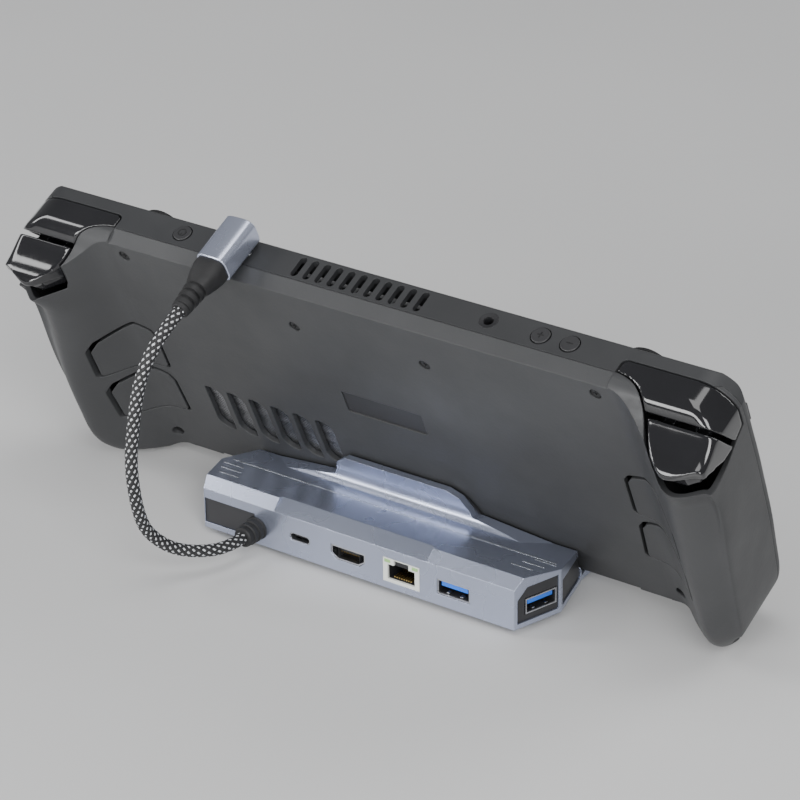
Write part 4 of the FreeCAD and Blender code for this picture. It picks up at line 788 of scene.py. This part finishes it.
def intake_lattice():
    """Fine diagonal wire mesh behind the intake slots: two layers of flat wires, crossed."""
    low_x, low_z, long, tall = 27.0, 14.6, 66.0, 30.0
    pitch, wire_wide, wire_thick, layer = 1.15, 0.34, 0.2, 0.08
    work = bmesh.new()
    count = int((long + tall) / pitch)
    for hand in (1, -1):
        for number in range(1, count):
            offset = number * pitch - tall
            run = min(tall, long - offset) if offset >= 0 else min(long, tall + offset)
            start_x, start_z = (offset, 0) if offset >= 0 else (0, -offset)
            middle_x, middle_z = start_x + run / 2, start_z + run / 2
            x = low_x + (middle_x if hand == 1 else long - middle_x)
            place = in_console(x, DEPTH - WALL - BEHIND_COVER - layer * hand, low_z + middle_z)
            turn = CONSOLE.to_3x3().to_4x4() @ Matrix.Rotation(-hand * math.pi / 4, 4, "Y")
            size = (run * math.sqrt(2), wire_thick, wire_wide)
            small_block(work, Matrix.Translation(place) @ turn, size)
    mesh = finished(work, "intake_lattice")
    piece = add("intake_lattice", mesh, "mesh_steel", "console", smooth=False)
    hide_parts("intake_mesh")


def power_sign():
    """Blocks of a broken ring with a bar."""
    radius, dot, bar_middle, bar_long, bar_wide = 1.5, 0.42, 1.1, 1.5, 0.4
    gap_from, turn, dots = -240, 15, 21
    items = []
    for number in range(dots):
        angle = math.radians(gap_from + turn * number)
        middle = (POWER_X + radius * math.cos(angle), TOP_KEY_DEPTH + radius * math.sin(angle), MARK_LEVEL)
        items.append((middle, (dot, dot, MARK_THICK)))
    bar = (POWER_X, TOP_KEY_DEPTH + bar_middle, MARK_LEVEL)
    items.append((bar, (bar_wide, bar_long, MARK_THICK)))
    return items


def top_button_marks():
    """Generic signs on the top keys: a broken ring with a bar, a plus and a minus."""
    boxes("power_mark", CONSOLE, power_sign(), "icon_ink", "power_button")
    middle = (VOLUME_UP_X, TOP_KEY_DEPTH, MARK_LEVEL)
    bars = ((MARK_LONG, MARK_WIDE, MARK_THICK), (MARK_WIDE, MARK_LONG, MARK_THICK + 0.01))
    plus = [(middle, size) for size in bars]
    boxes("volume_up_mark", CONSOLE, plus, "icon_ink", "volume_up")
    minus = [((VOLUME_DOWN_X, TOP_KEY_DEPTH, MARK_LEVEL), (MARK_LONG, MARK_WIDE, MARK_THICK))]
    boxes("volume_down_mark", CONSOLE, minus, "icon_ink", "volume_down")


def jack_rim():
    """Low round lip about the headphone socket."""
    upright = Matrix.Rotation(math.radians(90), 4, "X")
    place = CONSOLE @ Matrix.Translation(Vector((JACK_X, TOP_KEY_DEPTH, HEIGHT)) * MM) @ upright
    profile = [(1.9, -0.6), (1.9, 0.02), (2.2, 0.06), (2.9, 0.06),
               (3.2, 0.16), (3.5, 0.16), (3.6, 0.02), (3.6, -0.3)]
    work = bmesh.new()
    rings = [turned_ring(work, place, radius, level) for radius, level in profile + profile[:1]]
    skin(work, rings, capped=False)
    bmesh.ops.remove_doubles(work, verts=work.verts, dist=1e-7)
    bmesh.ops.recalc_face_normals(work, faces=work.faces)
    add("jack_rim", finished(work, "jack_rim"), "port_black", "console")


def stick_ridges():
    """Knurled rim of each stick's cap."""
    count, radius, depth = 56, 9.2, -7.7
    for name, x in (("left", -STICK_X), ("right", STICK_X)):
        work = bmesh.new()
        for step in range(count):
            angle = 2 * math.pi * step / count
            spot = in_console(x + radius * math.cos(angle), depth, STICK_HEIGHT + radius * math.sin(angle))
            turn = CONSOLE.to_3x3().to_4x4() @ Matrix.Rotation(-angle, 4, "Y")
            small_block(work, Matrix.Translation(spot) @ turn, (0.5, 1.5, 0.5))
        soften(work, 0.12)
        mesh = finished(work, f"stick_ridges_{name}")
        add(f"stick_ridges_{name}", mesh, "stick_rubber", f"stick_cap_{name}")


intake_lattice()
top_button_marks()
stick_ridges()
jack_rim()


# ------------------------------------------------------------------ stage
def floor():
    """Plain pale floor."""
    mesh = bpy.data.meshes.new("floor")
    reach = 3.0
    corners = [(-reach, -reach, 0), (reach, -reach, 0), (reach, reach, 0), (-reach, reach, 0)]
    mesh.from_pydata(corners, [], [(0, 1, 2, 3)])
    plane = bpy.data.objects.new("floor", mesh)
    bpy.context.scene.collection.objects.link(plane)
    shader = Shader("floor_paint", (0.62, 0.62, 0.62), 0.7)
    shader.tint(shader.noise(3.0, 2.0), (0.60, 0.60, 0.60), (0.64, 0.64, 0.64))
    mesh.materials.append(shader.material)


def lamp(name, place, aim, size, power, size_y=None):
    """Soft rectangular light at a place, aimed at a point; metres and watts."""
    data = bpy.data.lights.new(name, "AREA")
    data.energy = power
    data.shape = "RECTANGLE"
    data.size = size
    data.size_y = size_y or size
    light = bpy.data.objects.new(name, data)
    bpy.context.scene.collection.objects.link(light)
    light.location = place
    light.rotation_euler = (Vector(aim) - Vector(place)).to_track_quat("-Z", "Y").to_euler()


floor()
lamp("key", (-1.3, 1.1, 1.0), (0, 0, 0.06), 0.7, 26, size_y=1.3)
lamp("back", (0.3, 1.8, 0.55), (0, 0, 0.03), 1.8, 30, size_y=0.5)
lamp("edge", (1.5, 0.7, 1.0), (0, 0, 0.06), 0.4, 12, size_y=1.2)
lamp("front", (-1.0, -1.5, 1.2), (0, 0, 0.05), 1.2, 14)
lamp("top", (-0.1, 0.25, 1.7), (0, 0, 0), 0.9, 9)
world = bpy.data.worlds.new("studio")
world.use_nodes = True
backdrop = world.node_tree.nodes["Background"]
backdrop.inputs["Color"].default_value = (0.80, 0.82, 0.85, 1)
backdrop.inputs["Strength"].default_value = 0.22
bpy.context.scene.world = world
